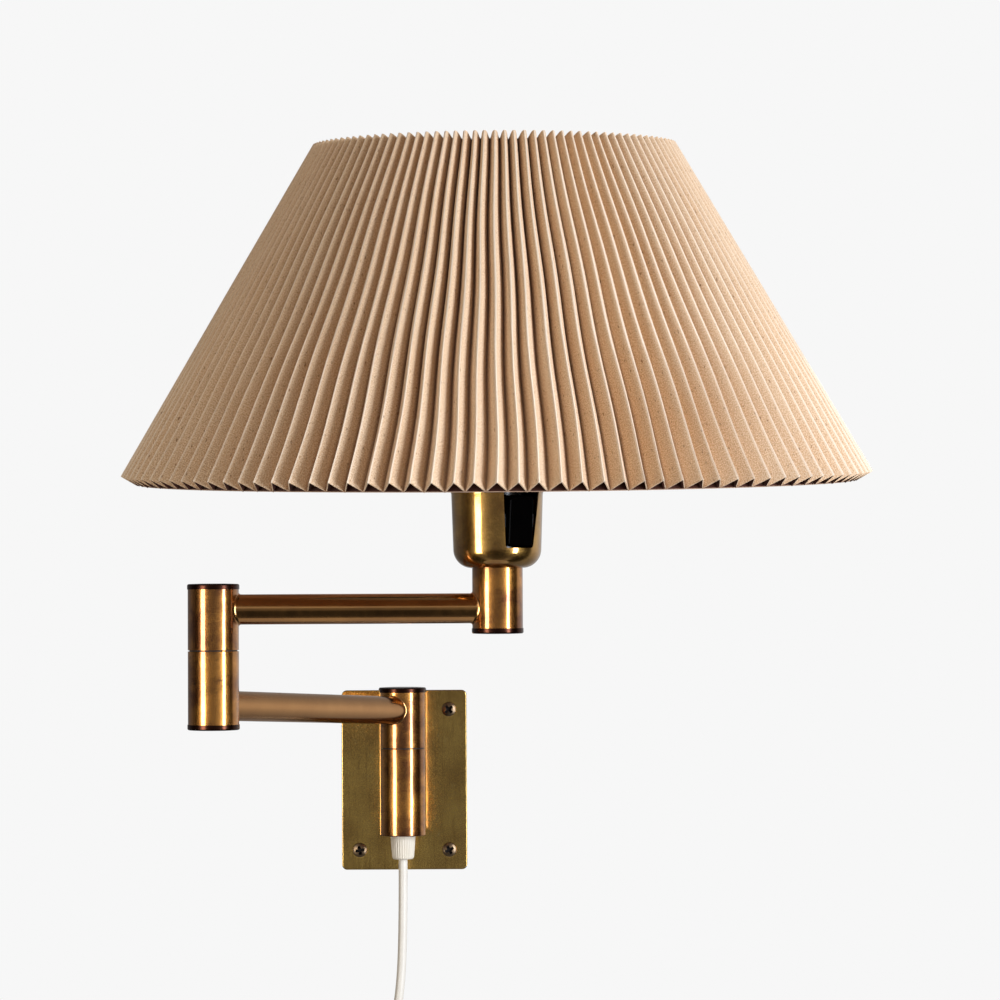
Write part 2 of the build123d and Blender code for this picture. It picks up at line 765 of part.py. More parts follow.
# Plug: a tapered relief, a flat body and two round pins, all in line with the tail
relief_foot = tail_end.Z - relief_height
relief = Pos(tail_end.X, tail_end.Y, tail_end.Z - relief_height / 2)
relief = relief * Cone(relief_foot_radius, relief_top_radius, relief_height)
plug_foot = relief_foot - plug_height
plug = loft(
    [
        Pos(tail_end.X, tail_end.Y, plug_foot) * RectangleRounded(plug_width, plug_depth, plug_round),
        Pos(tail_end.X, tail_end.Y, relief_foot) * RectangleRounded(plug_neck_width, plug_neck_depth, plug_round),
    ]
)
keep("plug_body", plug + relief)
pins = []
for side in (-1, 1):
    pin_axis = (tail_end.X + side * pin_spacing / 2, tail_end.Y)
    pin = disc(pin_axis, plug_foot - pin_length, plug_foot, pin_radius)
    pins.append(fillet(pin.edges().sort_by(Axis.Z)[0], pin_radius / 2))
keep("plug_pins", Compound(children=pins))


# Least gap between the coil's own turns, measured on the sample points
skipped = int(4 * cord_radius / coil.length * coil_sample_count) + 1
least_distance = min(
    (coil_samples[i] - coil_samples[j]).length
    for i in range(coil_sample_count + 1)
    for j in range(i + skipped, coil_sample_count + 1)
)
cord_length = drop_path.length + coil.length + tail_path.length
print("radii of the cord's drop:", [round(radius, 1) for radius in drop_radii])
print("drop volume over section times length:", drop.volume / (math.pi * cord_radius**2 * drop_path.length))
print("least gap in the coil:", round(least_distance - 2 * cord_radius, 2))
print("cord length:", round(cord_length, 1))
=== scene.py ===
# %% [markdown]
# # An articulating wall light in brass and pleated linen
# The lamp hangs on a wall by a brass plate. Two swing arms fold at an elbow, and the second
# one carries a spun cup with a rocker switch under a pleated cone shade. The solids already
# exist, so this lesson dresses them: it loads them as a frame, sets up a camera and two strip
# lights as in a small product studio, then makes each visible piece and its finish in turn.

# %% Load the solids
import math
import random

import bmesh
import bpy
from mathutils import Matrix, Vector


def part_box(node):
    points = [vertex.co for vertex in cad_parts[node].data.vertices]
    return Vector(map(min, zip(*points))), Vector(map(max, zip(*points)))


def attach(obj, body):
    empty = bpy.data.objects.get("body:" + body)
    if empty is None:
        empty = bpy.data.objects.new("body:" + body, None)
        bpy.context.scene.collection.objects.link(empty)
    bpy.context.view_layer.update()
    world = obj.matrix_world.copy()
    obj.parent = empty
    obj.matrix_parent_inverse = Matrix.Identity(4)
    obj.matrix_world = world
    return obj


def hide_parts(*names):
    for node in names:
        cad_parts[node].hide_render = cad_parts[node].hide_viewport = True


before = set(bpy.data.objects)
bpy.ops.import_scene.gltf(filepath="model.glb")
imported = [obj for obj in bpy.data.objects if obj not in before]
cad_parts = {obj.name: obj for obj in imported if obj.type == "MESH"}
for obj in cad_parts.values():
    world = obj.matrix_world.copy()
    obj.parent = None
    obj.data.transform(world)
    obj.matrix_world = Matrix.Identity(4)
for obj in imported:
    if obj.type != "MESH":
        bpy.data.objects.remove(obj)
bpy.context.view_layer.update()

print("solids loaded:", len(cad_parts))

# %% [markdown]
# ## Small helpers
# All lengths below are written in millimetres, as a maker would measure them, and are turned
# into metres at the last moment. Colours are written as the hex values a colour picker gives,
# and one function turns them into the linear values that Blender works in.

# %% Units and colours
MM = 0.001


def linear(hex_colour):
    """A hex colour from a picker as linear red, green, blue and full opacity."""
    channels = [int(hex_colour[i : i + 2], 16) / 255 for i in (1, 3, 5)]
    return (*[c / 12.92 if c <= 0.04045 else ((c + 0.055) / 1.055) ** 2.4 for c in channels], 1)


def size_of(node):
    """A solid's lowest and highest corner in millimetres."""
    low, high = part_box(node)
    return low / MM, high / MM


# %% One helper that adds a node, its settings and its links
def add_node(tree, kind, inputs=None, **settings):
    """Add a node, set its properties, and set or link its inputs."""
    node = tree.nodes.new(kind)
    for name, value in settings.items():
        setattr(node, name, value)
    for socket, value in (inputs or {}).items():
        if isinstance(value, bpy.types.NodeSocket):
            tree.links.new(value, node.inputs[socket])
        else:
            node.inputs[socket].default_value = value
    return node


# A Mix node has a set of sockets for each kind of value, and these are the ones for colours
MIX_A, MIX_B, MIX_RESULT = 6, 7, 2


def new_material(name):
    """An empty node material, its tree and its Principled shader."""
    material = bpy.data.materials.new(name)
    material.use_nodes = True
    tree = material.node_tree
    print("finish:", name)
    return material, tree, tree.nodes["Principled BSDF"]


# %% [markdown]
# ## Camera
# The photograph was taken with a long lens from about two metres, a little below the shade and
# pointing slightly up. The picture leans by a third of a degree, so the camera does too.

# %% Camera
focal_pixels = 3350
camera_data = bpy.data.cameras.new("photo_camera")
camera_data.sensor_width = 36
camera_data.lens = focal_pixels / 1000 * camera_data.sensor_width
camera = bpy.data.objects.new("photo_camera", camera_data)
bpy.context.scene.collection.objects.link(camera)
pitch_up = math.radians(1.71)
lean = math.radians(-0.3)
turn_up = Matrix.Rotation(math.pi / 2 + pitch_up, 4, "X")
camera_place = Vector((57.5, -1991.6, 106.1)) * MM
camera.matrix_world = Matrix.Translation(camera_place) @ turn_up @ Matrix.Rotation(lean, 4, "Z")
bpy.context.scene.camera = camera
bpy.context.scene.view_settings.view_transform = "Standard"
print("lens in millimetres:", round(camera_data.lens, 1))

# %% [markdown]
# ## Light
# The brass shows two tall, narrow lights, one to each side of the camera, as hot vertical
# streaks. The right one is the stronger: it rakes across the folds of the shade and lights
# only their crests on the far side. The left one is made of two lights, because its streak is
# stronger than its light on the cloth: matt surfaces see the broad one, and the metal mirrors
# only the small near one. The wall behind is white, and the room in front is dim.

# %% Strip lights
light_target = Vector((0, -0.15, 0.12))


def strip_light(name, azimuth, distance, height, width, tall, power, colour):
    """A tall soft box that stands to one side of the camera and faces the lamp."""
    data = bpy.data.lights.new(name, "AREA")
    data.shape = "RECTANGLE"
    data.size, data.size_y = width, tall
    data.energy = power
    data.color = linear(colour)[:3]
    light = bpy.data.objects.new(name, data)
    bpy.context.scene.collection.objects.link(light)
    turn = math.radians(azimuth)
    place = light_target + Vector((distance * math.sin(turn), -distance * math.cos(turn), height))
    aim = (place - light_target).to_track_quat("Z", "Y").to_matrix().to_4x4()
    light.matrix_world = Matrix.Translation(place) @ aim
    print(name, "stands", distance, "m away, at", azimuth, "degrees from the camera")
    return light


strip_light(
    "right_strip", azimuth=49, distance=1.5, height=0.1, width=0.32, tall=1.5, power=27.5, colour="#EAF2FF"
)
left_strip = strip_light(
    "left_strip", azimuth=-46, distance=1.5, height=-0.1, width=0.46, tall=1.2, power=5.5, colour="#FFF9F0"
)
left_strip.visible_glossy = False
left_gleam = strip_light(
    "left_gleam",
    azimuth=-44,
    distance=0.8,
    height=-0.155,
    width=0.24,
    tall=0.335,
    power=3.4,
    colour="#FFF9F0",
)
left_gleam.visible_diffuse = False

# %% World: soft light for matt surfaces
world = bpy.data.worlds.new("studio")
bpy.context.scene.world = world
world.use_nodes = True
sky = world.node_tree
sky.nodes.clear()
path = add_node(sky, "ShaderNodeLightPath")
direction = add_node(sky, "ShaderNodeTexCoord")
axes = add_node(sky, "ShaderNodeSeparateXYZ", {"Vector": direction.outputs["Generated"]})
# The room is brighter to the right of the camera and above it than anywhere else
brighter_side = add_node(
    sky,
    "ShaderNodeVectorMath",
    {0: direction.outputs["Generated"], 1: (0.42, -0.88, 0.2)},
    operation="DOT_PRODUCT",
)
soft = add_node(
    sky,
    "ShaderNodeMapRange",
    {
        "Value": brighter_side.outputs["Value"],
        "From Min": -0.2,
        "From Max": 0.9,
        "To Min": 0.13,
        "To Max": 0.44,
    },
)

# The white wall sends some light back on the lamp from behind
from_wall = add_node(
    sky,
    "ShaderNodeMapRange",
    {"Value": axes.outputs["Y"], "From Min": 0.3, "From Max": 1, "To Max": 0.3},
    interpolation_type="SMOOTHSTEP",
)
soft_light = add_node(
    sky, "ShaderNodeMath", {0: soft.outputs["Result"], 1: from_wall.outputs["Result"]}, operation="ADD"
)

# %% What the metal reflects: a dim room in front, from its floor to its ceiling
# Levels from straight down, 0, to straight up, 1: a floor, dark furniture, a paler band at eye
# height, a bright strip above it and a ceiling
room_height = add_node(sky, "ShaderNodeMapRange", {"Value": axes.outputs["Z"], "From Min": -1})
room = add_node(sky, "ShaderNodeValToRGB", {"Fac": room_height.outputs["Result"]})
room_levels = [(0, 0.1), (0.05, 0.09), (0.1, 0.04), (0.375, 0.03), (0.44, 0.17)]
room_levels += [(0.56, 0.2), (0.6, 0.62), (0.65, 0.62), (0.7, 0.16), (1, 0.1)]
for place, level in room_levels[1:-1]:
    room.color_ramp.elements.new(place)
for stop, (place, level) in zip(room.color_ramp.elements, room_levels):
    stop.position, stop.color = place, (level, level, level, 1)

# %% The dim room, round the horizon
# In degrees from the camera: dark corners, and a glow beside each strip light
front = add_node(sky, "ShaderNodeMath", {0: axes.outputs["Y"], 1: -1}, operation="MULTIPLY")
azimuth = add_node(
    sky, "ShaderNodeMath", {0: axes.outputs["X"], 1: front.outputs[0]}, operation="ARCTAN2"
)
round_share = add_node(
    sky, "ShaderNodeMapRange", {"Value": azimuth.outputs[0], "From Min": -math.pi, "From Max": math.pi}
)
corners = add_node(sky, "ShaderNodeValToRGB", {"Fac": round_share.outputs["Result"]})
corner_levels = [
    (-180, 0.05), (-105, 0.09), (-88, 0.08), (-82, 0.015), (-67, 0.02), (-61, 0.3), (-47, 0.75)
]
corner_levels += [
    (-38, 0.7), (-26, 0.34), (-10, 0.2), (12, 0.2), (28, 0.34), (42, 0.75), (52, 0.75), (60, 0.3)
]
corner_levels += [(66, 0.02), (92, 0.015), (97, 0.06), (180, 0.05)]
for degrees, level in corner_levels[1:-1]:
    corners.color_ramp.elements.new((degrees + 180) / 360)
for stop, (degrees, level) in zip(corners.color_ramp.elements, corner_levels):
    stop.position, stop.color = (degrees + 180) / 360, (level, level, level, 1)
dim_room = add_node(
    sky, "ShaderNodeMath", {0: room.outputs["Color"], 1: corners.outputs["Color"]}, operation="MULTIPLY"
)
room_gain = 5
lit_room = add_node(sky, "ShaderNodeMath", {0: dim_room.outputs[0], 1: room_gain}, operation="MULTIPLY")

# %% The wall behind the lamp
# It is brighter on the side of the stronger light, and dimmer low down and behind the shade
wall_side = add_node(
    sky,
    "ShaderNodeMapRange",
    {"Value": axes.outputs["X"], "From Min": -0.5, "From Max": 0.6, "To Min": 0.16, "To Max": 0.66},
)
wall_low = add_node(
    sky,
    "ShaderNodeMapRange",
    {"Value": axes.outputs["Z"], "From Min": -0.6, "From Max": -0.1, "To Min": 0.3, "To Max": 1},
)
wall_high = add_node(
    sky,
    "ShaderNodeMapRange",
    {"Value": axes.outputs["Z"], "From Min": 0.1, "From Max": 0.6, "To Min": 1, "To Max": 0.35},
)
wall_band = add_node(
    sky,
    "ShaderNodeMath",
    {0: wall_low.outputs["Result"], 1: wall_high.outputs["Result"]},
    operation="MULTIPLY",
)
wall_level = add_node(
    sky, "ShaderNodeMath", {0: wall_side.outputs["Result"], 1: wall_band.outputs[0]}, operation="MULTIPLY"
)
wall_share = add_node(
    sky,
    "ShaderNodeMapRange",
    {"Value": axes.outputs["Y"], "From Min": 0.08, "From Max": 0.34},
    interpolation_type="SMOOTHSTEP",
)
mirrored = add_node(
    sky,
    "ShaderNodeMix",
    {"Factor": wall_share.outputs["Result"], "A": lit_room.outputs[0], "B": wall_level.outputs[0]},
)

# %% Which of them a ray sees: the camera sees a plain pale background
background_level = 0.93
sharp_rays = add_node(
    sky,
    "ShaderNodeMath",
    {0: path.outputs["Is Glossy Ray"], 1: path.outputs["Is Transmission Ray"]},
    operation="MAXIMUM",
)
seen = add_node(
    sky,
    "ShaderNodeMix",
    {"Factor": sharp_rays.outputs[0], "A": soft_light.outputs[0], "B": mirrored.outputs["Result"]},
)
level = add_node(
    sky,
    "ShaderNodeMix",
    {"Factor": path.outputs["Is Camera Ray"], "A": seen.outputs["Result"], "B": background_level},
)
# Its soft light is a little warm, from a wooden floor
tint = add_node(
    sky,
    "ShaderNodeMix",
    {"Factor": path.outputs["Is Diffuse Ray"], MIX_A: linear("#FFFFFF"), MIX_B: linear("#FFF2E4")},
    data_type="RGBA",
)
glow = add_node(
    sky, "ShaderNodeBackground", {"Color": tint.outputs[MIX_RESULT], "Strength": level.outputs["Result"]}
)
add_node(sky, "ShaderNodeOutputWorld", {"Surface": glow.outputs["Background"]})
print("the camera sees a background of", background_level)

# %% Floor, as far below the lamp as it is under a wall light
floor_radius, floor_place = 0.6, (0, -0.2, -1.6)
floor_shape = bmesh.new()
bmesh.ops.create_circle(floor_shape, cap_ends=True, segments=96, radius=floor_radius)
bmesh.ops.translate(floor_shape, verts=floor_shape.verts, vec=floor_place)
floor_mesh = bpy.data.meshes.new("floor")
floor_shape.to_mesh(floor_mesh)
floor = bpy.data.objects.new("floor", floor_mesh)
bpy.context.scene.collection.objects.link(floor)
floor_paint, floor_tree, floor_shader = new_material("matt_floor_paint")
floor_shader.inputs["Base Color"].default_value = linear("#F0F0EF")
floor_shader.inputs["Roughness"].default_value = 0.9
# Where the camera sees it, it is as pale as the background, and it keeps its shadows
floor_glow_level = 0.485
floor_path = add_node(floor_tree, "ShaderNodeLightPath")
floor_glow = add_node(
    floor_tree,
    "ShaderNodeMath",
    {0: floor_path.outputs["Is Camera Ray"], 1: floor_glow_level},
    operation="MULTIPLY",
)
floor_shader.inputs["Emission Color"].default_value = linear("#FFFFFF")
floor_tree.links.new(floor_glow.outputs[0], floor_shader.inputs["Emission Strength"])
floor_mesh.materials.append(floor_paint)
print("the floor lies", -floor_place[2], "m below the plate's middle")

# %% [markdown]
# ## Making a piece
# Every piece is shaped in a bmesh, in millimetres, and then becomes an object that rides on
# one of the lamp's bodies. Round pieces are turned: a half outline of radius and height is
# spun about its own upright axis, as on a lathe.

# %% Finish a piece


def make_piece(name, shape, body, material, stands_for=(), crease=35, even=True):
    """Turn a bmesh in millimetres into a finished object on a body."""
    bmesh.ops.transform(shape, matrix=Matrix.Scale(MM, 4), verts=shape.verts)
    mesh = bpy.data.meshes.new(name)
    shape.to_mesh(mesh)
    shape.free()
    print("made", name, "with", len(mesh.polygons), "faces")
    mesh.shade_smooth()
    mesh.set_sharp_from_angle(angle=math.radians(crease))
    mesh.materials.append(material)
    piece = bpy.data.objects.new(name, mesh)
    bpy.context.scene.collection.objects.link(piece)
    if even:
        shading = piece.modifiers.new("even_shading", "WEIGHTED_NORMAL")
        shading.keep_sharp = True
    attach(piece, body)
    if stands_for:
        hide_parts(*stands_for)
    return piece


# %% Turn an outline


def turn_outline(outline, centre=(0, 0), steps=128):
    """Spin a closed outline of (radius, height) about an upright axis."""
    spun = bmesh.new()
    points = [spun.verts.new((radius, 0, height)) for radius, height in outline]
    edges = [spun.edges.new((a, b)) for a, b in zip(points, points[1:] + points[:1])]
    bmesh.ops.spin(
        spun,
        geom=points + edges,
        cent=(0, 0, 0),
        axis=(0, 0, 1),
        dvec=(0, 0, 0),
        angle=2 * math.pi,
        steps=steps,
        use_merge=True,
    )
    bmesh.ops.remove_doubles(spun, verts=spun.verts, dist=1e-4)
    loose = [edge for edge in spun.edges if not edge.link_faces]
    bmesh.ops.delete(spun, geom=loose, context="EDGES")
    bmesh.ops.recalc_face_normals(spun, faces=spun.faces)
    bmesh.ops.translate(spun, verts=spun.verts, vec=(centre[0], centre[1], 0))
    return spun


def arc(centre_radius, centre_height, radius, start, stop, steps):
    """Points of an arc in an outline, its angles in degrees from straight out."""
    return [
        (
            centre_radius + radius * math.cos(math.radians(start + (stop - start) * i / steps)),
            centre_height + radius * math.sin(math.radians(start + (stop - start) * i / steps)),
        )
        for i in range(steps + 1)
    ]


# %% Weave a tube out of a flat grid


def wrap_grid(around, along, place, cloth_place=None):
    """Roll a flat grid into a tube. place(i, j) says where each crossing goes."""
    shape = bmesh.new()
    cloth = shape.loops.layers.uv.new("cloth") if cloth_place else None
    bmesh.ops.create_grid(shape, x_segments=around, y_segments=along, size=0.5)
    crossing = {
        vert: (round((vert.co.x + 0.5) * around), round((vert.co.y + 0.5) * along)) for vert in shape.verts
    }
    if cloth:
        for face in shape.faces:
            for loop in face.loops:
                loop[cloth].uv = cloth_place(*crossing[loop.vert])
    for vert, (i, j) in crossing.items():
        vert.co = place(i % around, j)
    bmesh.ops.remove_doubles(shape, verts=shape.verts, dist=1e-4)
    return shape


def close_ends(shape):
    """Close the open ends of a tube with a flat face each."""
    rims = [edge for edge in shape.edges if edge.is_boundary]
    bmesh.ops.holes_fill(shape, edges=rims, sides=0)
    bmesh.ops.recalc_face_normals(shape, faces=shape.faces)
    return shape


# %% Cut one shape out of another


def carve(block, cutter):
    """Take one shape out of another with a Boolean modifier, and give back the rest."""
    block_object, cutter_object = [
        bpy.data.objects.new(name, bpy.data.meshes.new(name)) for name in ("block", "cutter")
    ]
    for thing, shape in ((block_object, block), (cutter_object, cutter)):
        shape.to_mesh(thing.data)
        shape.free()
        bpy.context.scene.collection.objects.link(thing)
    cut = block_object.modifiers.new("cut", "BOOLEAN")
    cut.operation = "DIFFERENCE"
    cut.solver = "EXACT"
    cut.object = cutter_object
    finished = block_object.evaluated_get(bpy.context.evaluated_depsgraph_get())
    rest = bmesh.new()
    rest.from_mesh(finished.to_mesh())
    finished.to_mesh_clear()
    bpy.data.objects.remove(block_object)
    bpy.data.objects.remove(cutter_object)
    return rest


def join_shapes(*shapes):
    """Put several shapes into the first one."""
    for other in shapes[1:]:
        loose_mesh = bpy.data.meshes.new("loose")
        other.to_mesh(loose_mesh)
        other.free()
        shapes[0].from_mesh(loose_mesh)
        bpy.data.meshes.remove(loose_mesh)
    return shapes[0]


# %% Where the hubs stand


def axis_of(node):
    """Where a round upright solid's axis stands, seen from above."""
    low, high = size_of(node)
    return ((low.x + high.x) / 2, (low.y + high.y) / 2)


wall_axis = axis_of("wall_cap")
elbow_axis = axis_of("elbow_top_cap")
head_axis = axis_of("head_cap")
hub_radius = 13.5
print("elbow and head stand at:", [round(v, 1) for v in (*elbow_axis, *head_axis)])

# %% [markdown]
# ## The mains cord
# The lamp is wired with a round white PVC cord, 5.2 mm thick. It leaves the sleeve through the
# ribbed grip and hangs straight down in front of the wall. The photograph shows only its first
# centimetres. The rest is wound into a small coil with a band round it and ends in a plug.
# A NURBS curve with a round bevel is the right tool: it is smooth through few points, and its
# points are the same ones that the solid cord was swept along.

# %% White PVC
cord_pvc, tree, shader = new_material("white_pvc_cord")
# Soft PVC: pale, faintly warm, a broad satin shine and a skin with very fine unevenness
spot = add_node(tree, "ShaderNodeTexCoord")
skin = add_node(
    tree, "ShaderNodeTexNoise", {"Vector": spot.outputs["Object"], "Scale": 1 / 0.0012, "Detail": 3}
)
grime = add_node(
    tree, "ShaderNodeTexNoise", {"Vector": spot.outputs["Object"], "Scale": 1 / 0.03, "Detail": 4}
)
tone = add_node(
    tree,
    "ShaderNodeMix",
    {"Factor": grime.outputs["Fac"], MIX_A: linear("#F3EFE6"), MIX_B: linear("#E4DED0")},
    data_type="RGBA",
)
tree.links.new(tone.outputs[MIX_RESULT], shader.inputs["Base Color"])
dents = add_node(
    tree, "ShaderNodeBump", {"Height": skin.outputs["Fac"], "Strength": 0.5, "Distance": 0.00004}
)
tree.links.new(dents.outputs["Normal"], shader.inputs["Normal"])
shader.inputs["Roughness"].default_value = 0.42
shader.inputs["IOR"].default_value = 1.53

# %% The cord's route: the drop, the coil's turns and the tail
grip_foot = -44.3
drop_route = [(0, 0), (0, 40), (-2, 80), (-9, 112), (-22, 138), (-22, 166)]
cord_points = [(x, wall_axis[1], grip_foot - down) for x, down in drop_route]
cord_radius = 2.6
coil_pitch = 5.8
points_per_half_turn = 6


def half_turn(centre, radius, start, back, back_step):
    """Control points of half a turn of the coil, from one side of it to the other."""
    step = math.pi / points_per_half_turn
    reach = radius / math.cos(step / 2)
    return [
        (
            centre[0] + reach * math.cos(start + (i + 0.5) * step),
            back + back_step * (i + 0.5) / points_per_half_turn,
            centre[1] + reach * math.sin(start + (i + 0.5) * step),
        )
        for i in range(points_per_half_turn)
    ]


side, level = cord_points[-1][0], cord_points[-1][2]
angle, radius, back = math.pi, 32.5, wall_axis[1]
for layer, (growth, half_turns) in enumerate([(-1, 4), (1, 4), (-1, 4), (1, 3)]):
    for turn in range(half_turns + 1):
        climbing = turn == half_turns
        if climbing and layer == 3:
            break
        centre = (side - radius * math.cos(angle), level)
        cord_points += half_turn(centre, radius, angle, back, coil_pitch if climbing else 0)
        side = centre[0] + radius * math.cos(angle + math.pi)
        angle += math.pi
        back += coil_pitch if climbing else 0
        radius += growth * coil_pitch / 2 * (-1 if climbing else 1)
coil_end = (side, back, level)
tail_length = 44
cord_points += [coil_end, (side, back, level - tail_length)]
print("cord control points:", len(cord_points), "coil ends at", [round(v, 1) for v in coil_end])

# %% The cord itself
cord_curve = bpy.data.curves.new("mains_cord", "CURVE")
cord_curve.dimensions = "3D"
cord_curve.bevel_depth = cord_radius * MM
cord_curve.bevel_resolution = 6
cord_curve.resolution_u = 8
cord_curve.use_fill_caps = True
line = cord_curve.splines.new("NURBS")
line.points.add(len(cord_points) - 1)
for point, place in zip(line.points, cord_points):
    point.co = (*(Vector(place) * MM), 1)
line.order_u = 3
line.use_endpoint_u = True
cord_curve.materials.append(cord_pvc)
mains_cord = bpy.data.objects.new("mains_cord", cord_curve)
bpy.context.scene.collection.objects.link(mains_cord)
print("the cord is", 2 * cord_radius, "mm thick")
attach(mains_cord, "wall_mount")
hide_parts("cord_drop", "cord_coil", "cord_tail")

# %% [markdown]
# ## Brass that has aged
# The lamp is brass tube that was polished and lacquered, and has since browned unevenly. Metal
# shows mostly what it reflects, so each finish below is a metallic colour with three kinds of
# unevenness: clouds of tarnish a few centimetres wide in its colour, smears in its roughness,
# and a slow waviness in its surface that makes the tall reflections run a little crooked.

# %% Hub brass: golden, browned in clouds, well polished
hub_brass, tree, shader = new_material("lacquered_hub_brass")
spot = add_node(tree, "ShaderNodeTexCoord")
clouds = add_node(
    tree,
    "ShaderNodeTexNoise",
    {"Vector": spot.outputs["Object"], "Scale": 1 / 0.022, "Detail": 5, "Roughness": 0.6},
)
cloud_share = add_node(
    tree, "ShaderNodeMapRange", {"Value": clouds.outputs["Fac"], "From Min": 0.37, "From Max": 0.6}
)
tone = add_node(
    tree,
    "ShaderNodeMix",
    {"Factor": cloud_share.outputs["Result"], MIX_A: linear("#DA9646"), MIX_B: linear("#84502A")},
    data_type="RGBA",
)
# Small dark spots where the lacquer has let go
pits = add_node(
    tree, "ShaderNodeTexNoise", {"Vector": spot.outputs["Object"], "Scale": 1 / 0.0035, "Detail": 4}
)
pit_share = add_node(
    tree, "ShaderNodeMapRange", {"Value": pits.outputs["Fac"], "From Min": 0.64, "From Max": 0.74}
)
spotted = add_node(
    tree,
    "ShaderNodeMix",
    {"Factor": pit_share.outputs["Result"], MIX_A: tone.outputs[MIX_RESULT], MIX_B: linear("#6B4422")},
    data_type="RGBA",
)
tree.links.new(spotted.outputs[MIX_RESULT], shader.inputs["Base Color"])

# %% The hub brass's polish
# Polished metal between hairline scratches, 0.12 mm apart: a hot core with a golden glow round it
scratches = add_node(
    tree, "ShaderNodeTexNoise", {"Vector": spot.outputs["Object"], "Scale": 1 / 0.00012, "Detail": 0}
)
rough = add_node(
    tree,
    "ShaderNodeMapRange",
    {
        "Value": scratches.outputs["Fac"],
        "From Min": 0.47,
        "From Max": 0.6,
        "To Min": 0.07,
        "To Max": 0.33,
    },
)
tree.links.new(rough.outputs["Result"], shader.inputs["Roughness"])
waves = add_node(
    tree, "ShaderNodeTexNoise", {"Vector": spot.outputs["Object"], "Scale": 1 / 0.014, "Detail": 1}
)
wavy = add_node(
    tree, "ShaderNodeBump", {"Height": waves.outputs["Fac"], "Strength": 1, "Distance": 0.00013}
)
grit = add_node(
    tree, "ShaderNodeTexNoise", {"Vector": spot.outputs["Object"], "Scale": 1 / 0.0016, "Detail": 3}
)
worn = add_node(
    tree,
    "ShaderNodeBump",
    {
        "Height": grit.outputs["Fac"],
        "Strength": 0.6,
        "Distance": 0.00001,
        "Normal": wavy.outputs["Normal"],
    },
)
tree.links.new(worn.outputs["Normal"], shader.inputs["Normal"])
tree.links.new(wavy.outputs["Normal"], shader.inputs["Coat Normal"])
shader.inputs["Metallic"].default_value = 1
shader.inputs["Coat Weight"].default_value = 0.8
shader.inputs["Coat Roughness"].default_value = 0.06

# %% Upper arm brass: browner than the hubs
upper_arm_brass, tree, shader = new_material("browned_arm_brass")
spot = add_node(tree, "ShaderNodeTexCoord")
clouds = add_node(
    tree,
    "ShaderNodeTexNoise",
    {"Vector": spot.outputs["Object"], "Scale": 1 / 0.03, "Detail": 5, "Roughness": 0.6},
)
tone = add_node(
    tree,
    "ShaderNodeMix",
    {"Factor": clouds.outputs["Fac"], MIX_A: linear("#CE9650"), MIX_B: linear("#946438")},
    data_type="RGBA",
)
tree.links.new(tone.outputs[MIX_RESULT], shader.inputs["Base Color"])
smears = add_node(
    tree, "ShaderNodeTexNoise", {"Vector": spot.outputs["Object"], "Scale": 1 / 0.006, "Detail": 6}
)
rough = add_node(
    tree,
    "ShaderNodeMapRange",
    {"Value": smears.outputs["Fac"], "From Min": 0.3, "From Max": 0.75, "To Min": 0.12, "To Max": 0.24},
)
tree.links.new(rough.outputs["Result"], shader.inputs["Roughness"])
grit = add_node(
    tree, "ShaderNodeTexNoise", {"Vector": spot.outputs["Object"], "Scale": 1 / 0.003, "Detail": 4}
)
worn = add_node(
    tree, "ShaderNodeBump", {"Height": grit.outputs["Fac"], "Strength": 0.7, "Distance": 0.00002}
)
tree.links.new(worn.outputs["Normal"], shader.inputs["Normal"])
shader.inputs["Metallic"].default_value = 1
shader.inputs["Coat Weight"].default_value = 0.7
shader.inputs["Coat Roughness"].default_value = 0.08

# %% Lower arm brass: coppery, its lacquer rubbed matt by hands
lower_arm_brass, tree, shader = new_material("rubbed_coppery_brass")
spot = add_node(tree, "ShaderNodeTexCoord")
clouds = add_node(
    tree,
    "ShaderNodeTexNoise",
    {"Vector": spot.outputs["Object"], "Scale": 1 / 0.035, "Detail": 5, "Roughness": 0.6},
)
tone = add_node(
    tree,
    "ShaderNodeMix",
    {"Factor": clouds.outputs["Fac"], MIX_A: linear("#DAA46A"), MIX_B: linear("#B07C4C")},
    data_type="RGBA",
)
tree.links.new(tone.outputs[MIX_RESULT], shader.inputs["Base Color"])
smears = add_node(
    tree, "ShaderNodeTexNoise", {"Vector": spot.outputs["Object"], "Scale": 1 / 0.012, "Detail": 6}
)
rough = add_node(
    tree,
    "ShaderNodeMapRange",
    {"Value": smears.outputs["Fac"], "From Min": 0.3, "From Max": 0.75, "To Min": 0.14, "To Max": 0.24},
)
tree.links.new(rough.outputs["Result"], shader.inputs["Roughness"])
grit = add_node(
    tree, "ShaderNodeTexNoise", {"Vector": spot.outputs["Object"], "Scale": 1 / 0.0018, "Detail": 4}
)
worn = add_node(
    tree, "ShaderNodeBump", {"Height": grit.outputs["Fac"], "Strength": 0.7, "Distance": 0.000015}
)
tree.links.new(worn.outputs["Normal"], shader.inputs["Normal"])
shader.inputs["Metallic"].default_value = 1

# %% Plate brass: olive with tarnish, faint vertical polishing marks
plate_brass, tree, shader = new_material("tarnished_plate_brass")
spot = add_node(tree, "ShaderNodeTexCoord")
clouds = add_node(
    tree,
    "ShaderNodeTexNoise",
    {"Vector": spot.outputs["Object"], "Scale": 1 / 0.02, "Detail": 7, "Roughness": 0.62},
)
cloud_share = add_node(
    tree, "ShaderNodeMapRange", {"Value": clouds.outputs["Fac"], "From Min": 0.35, "From Max": 0.68}
)
tone = add_node(
    tree,
    "ShaderNodeMix",
    {"Factor": cloud_share.outputs["Result"], MIX_A: linear("#E2BA62"), MIX_B: linear("#BA9249")},
    data_type="RGBA",
)
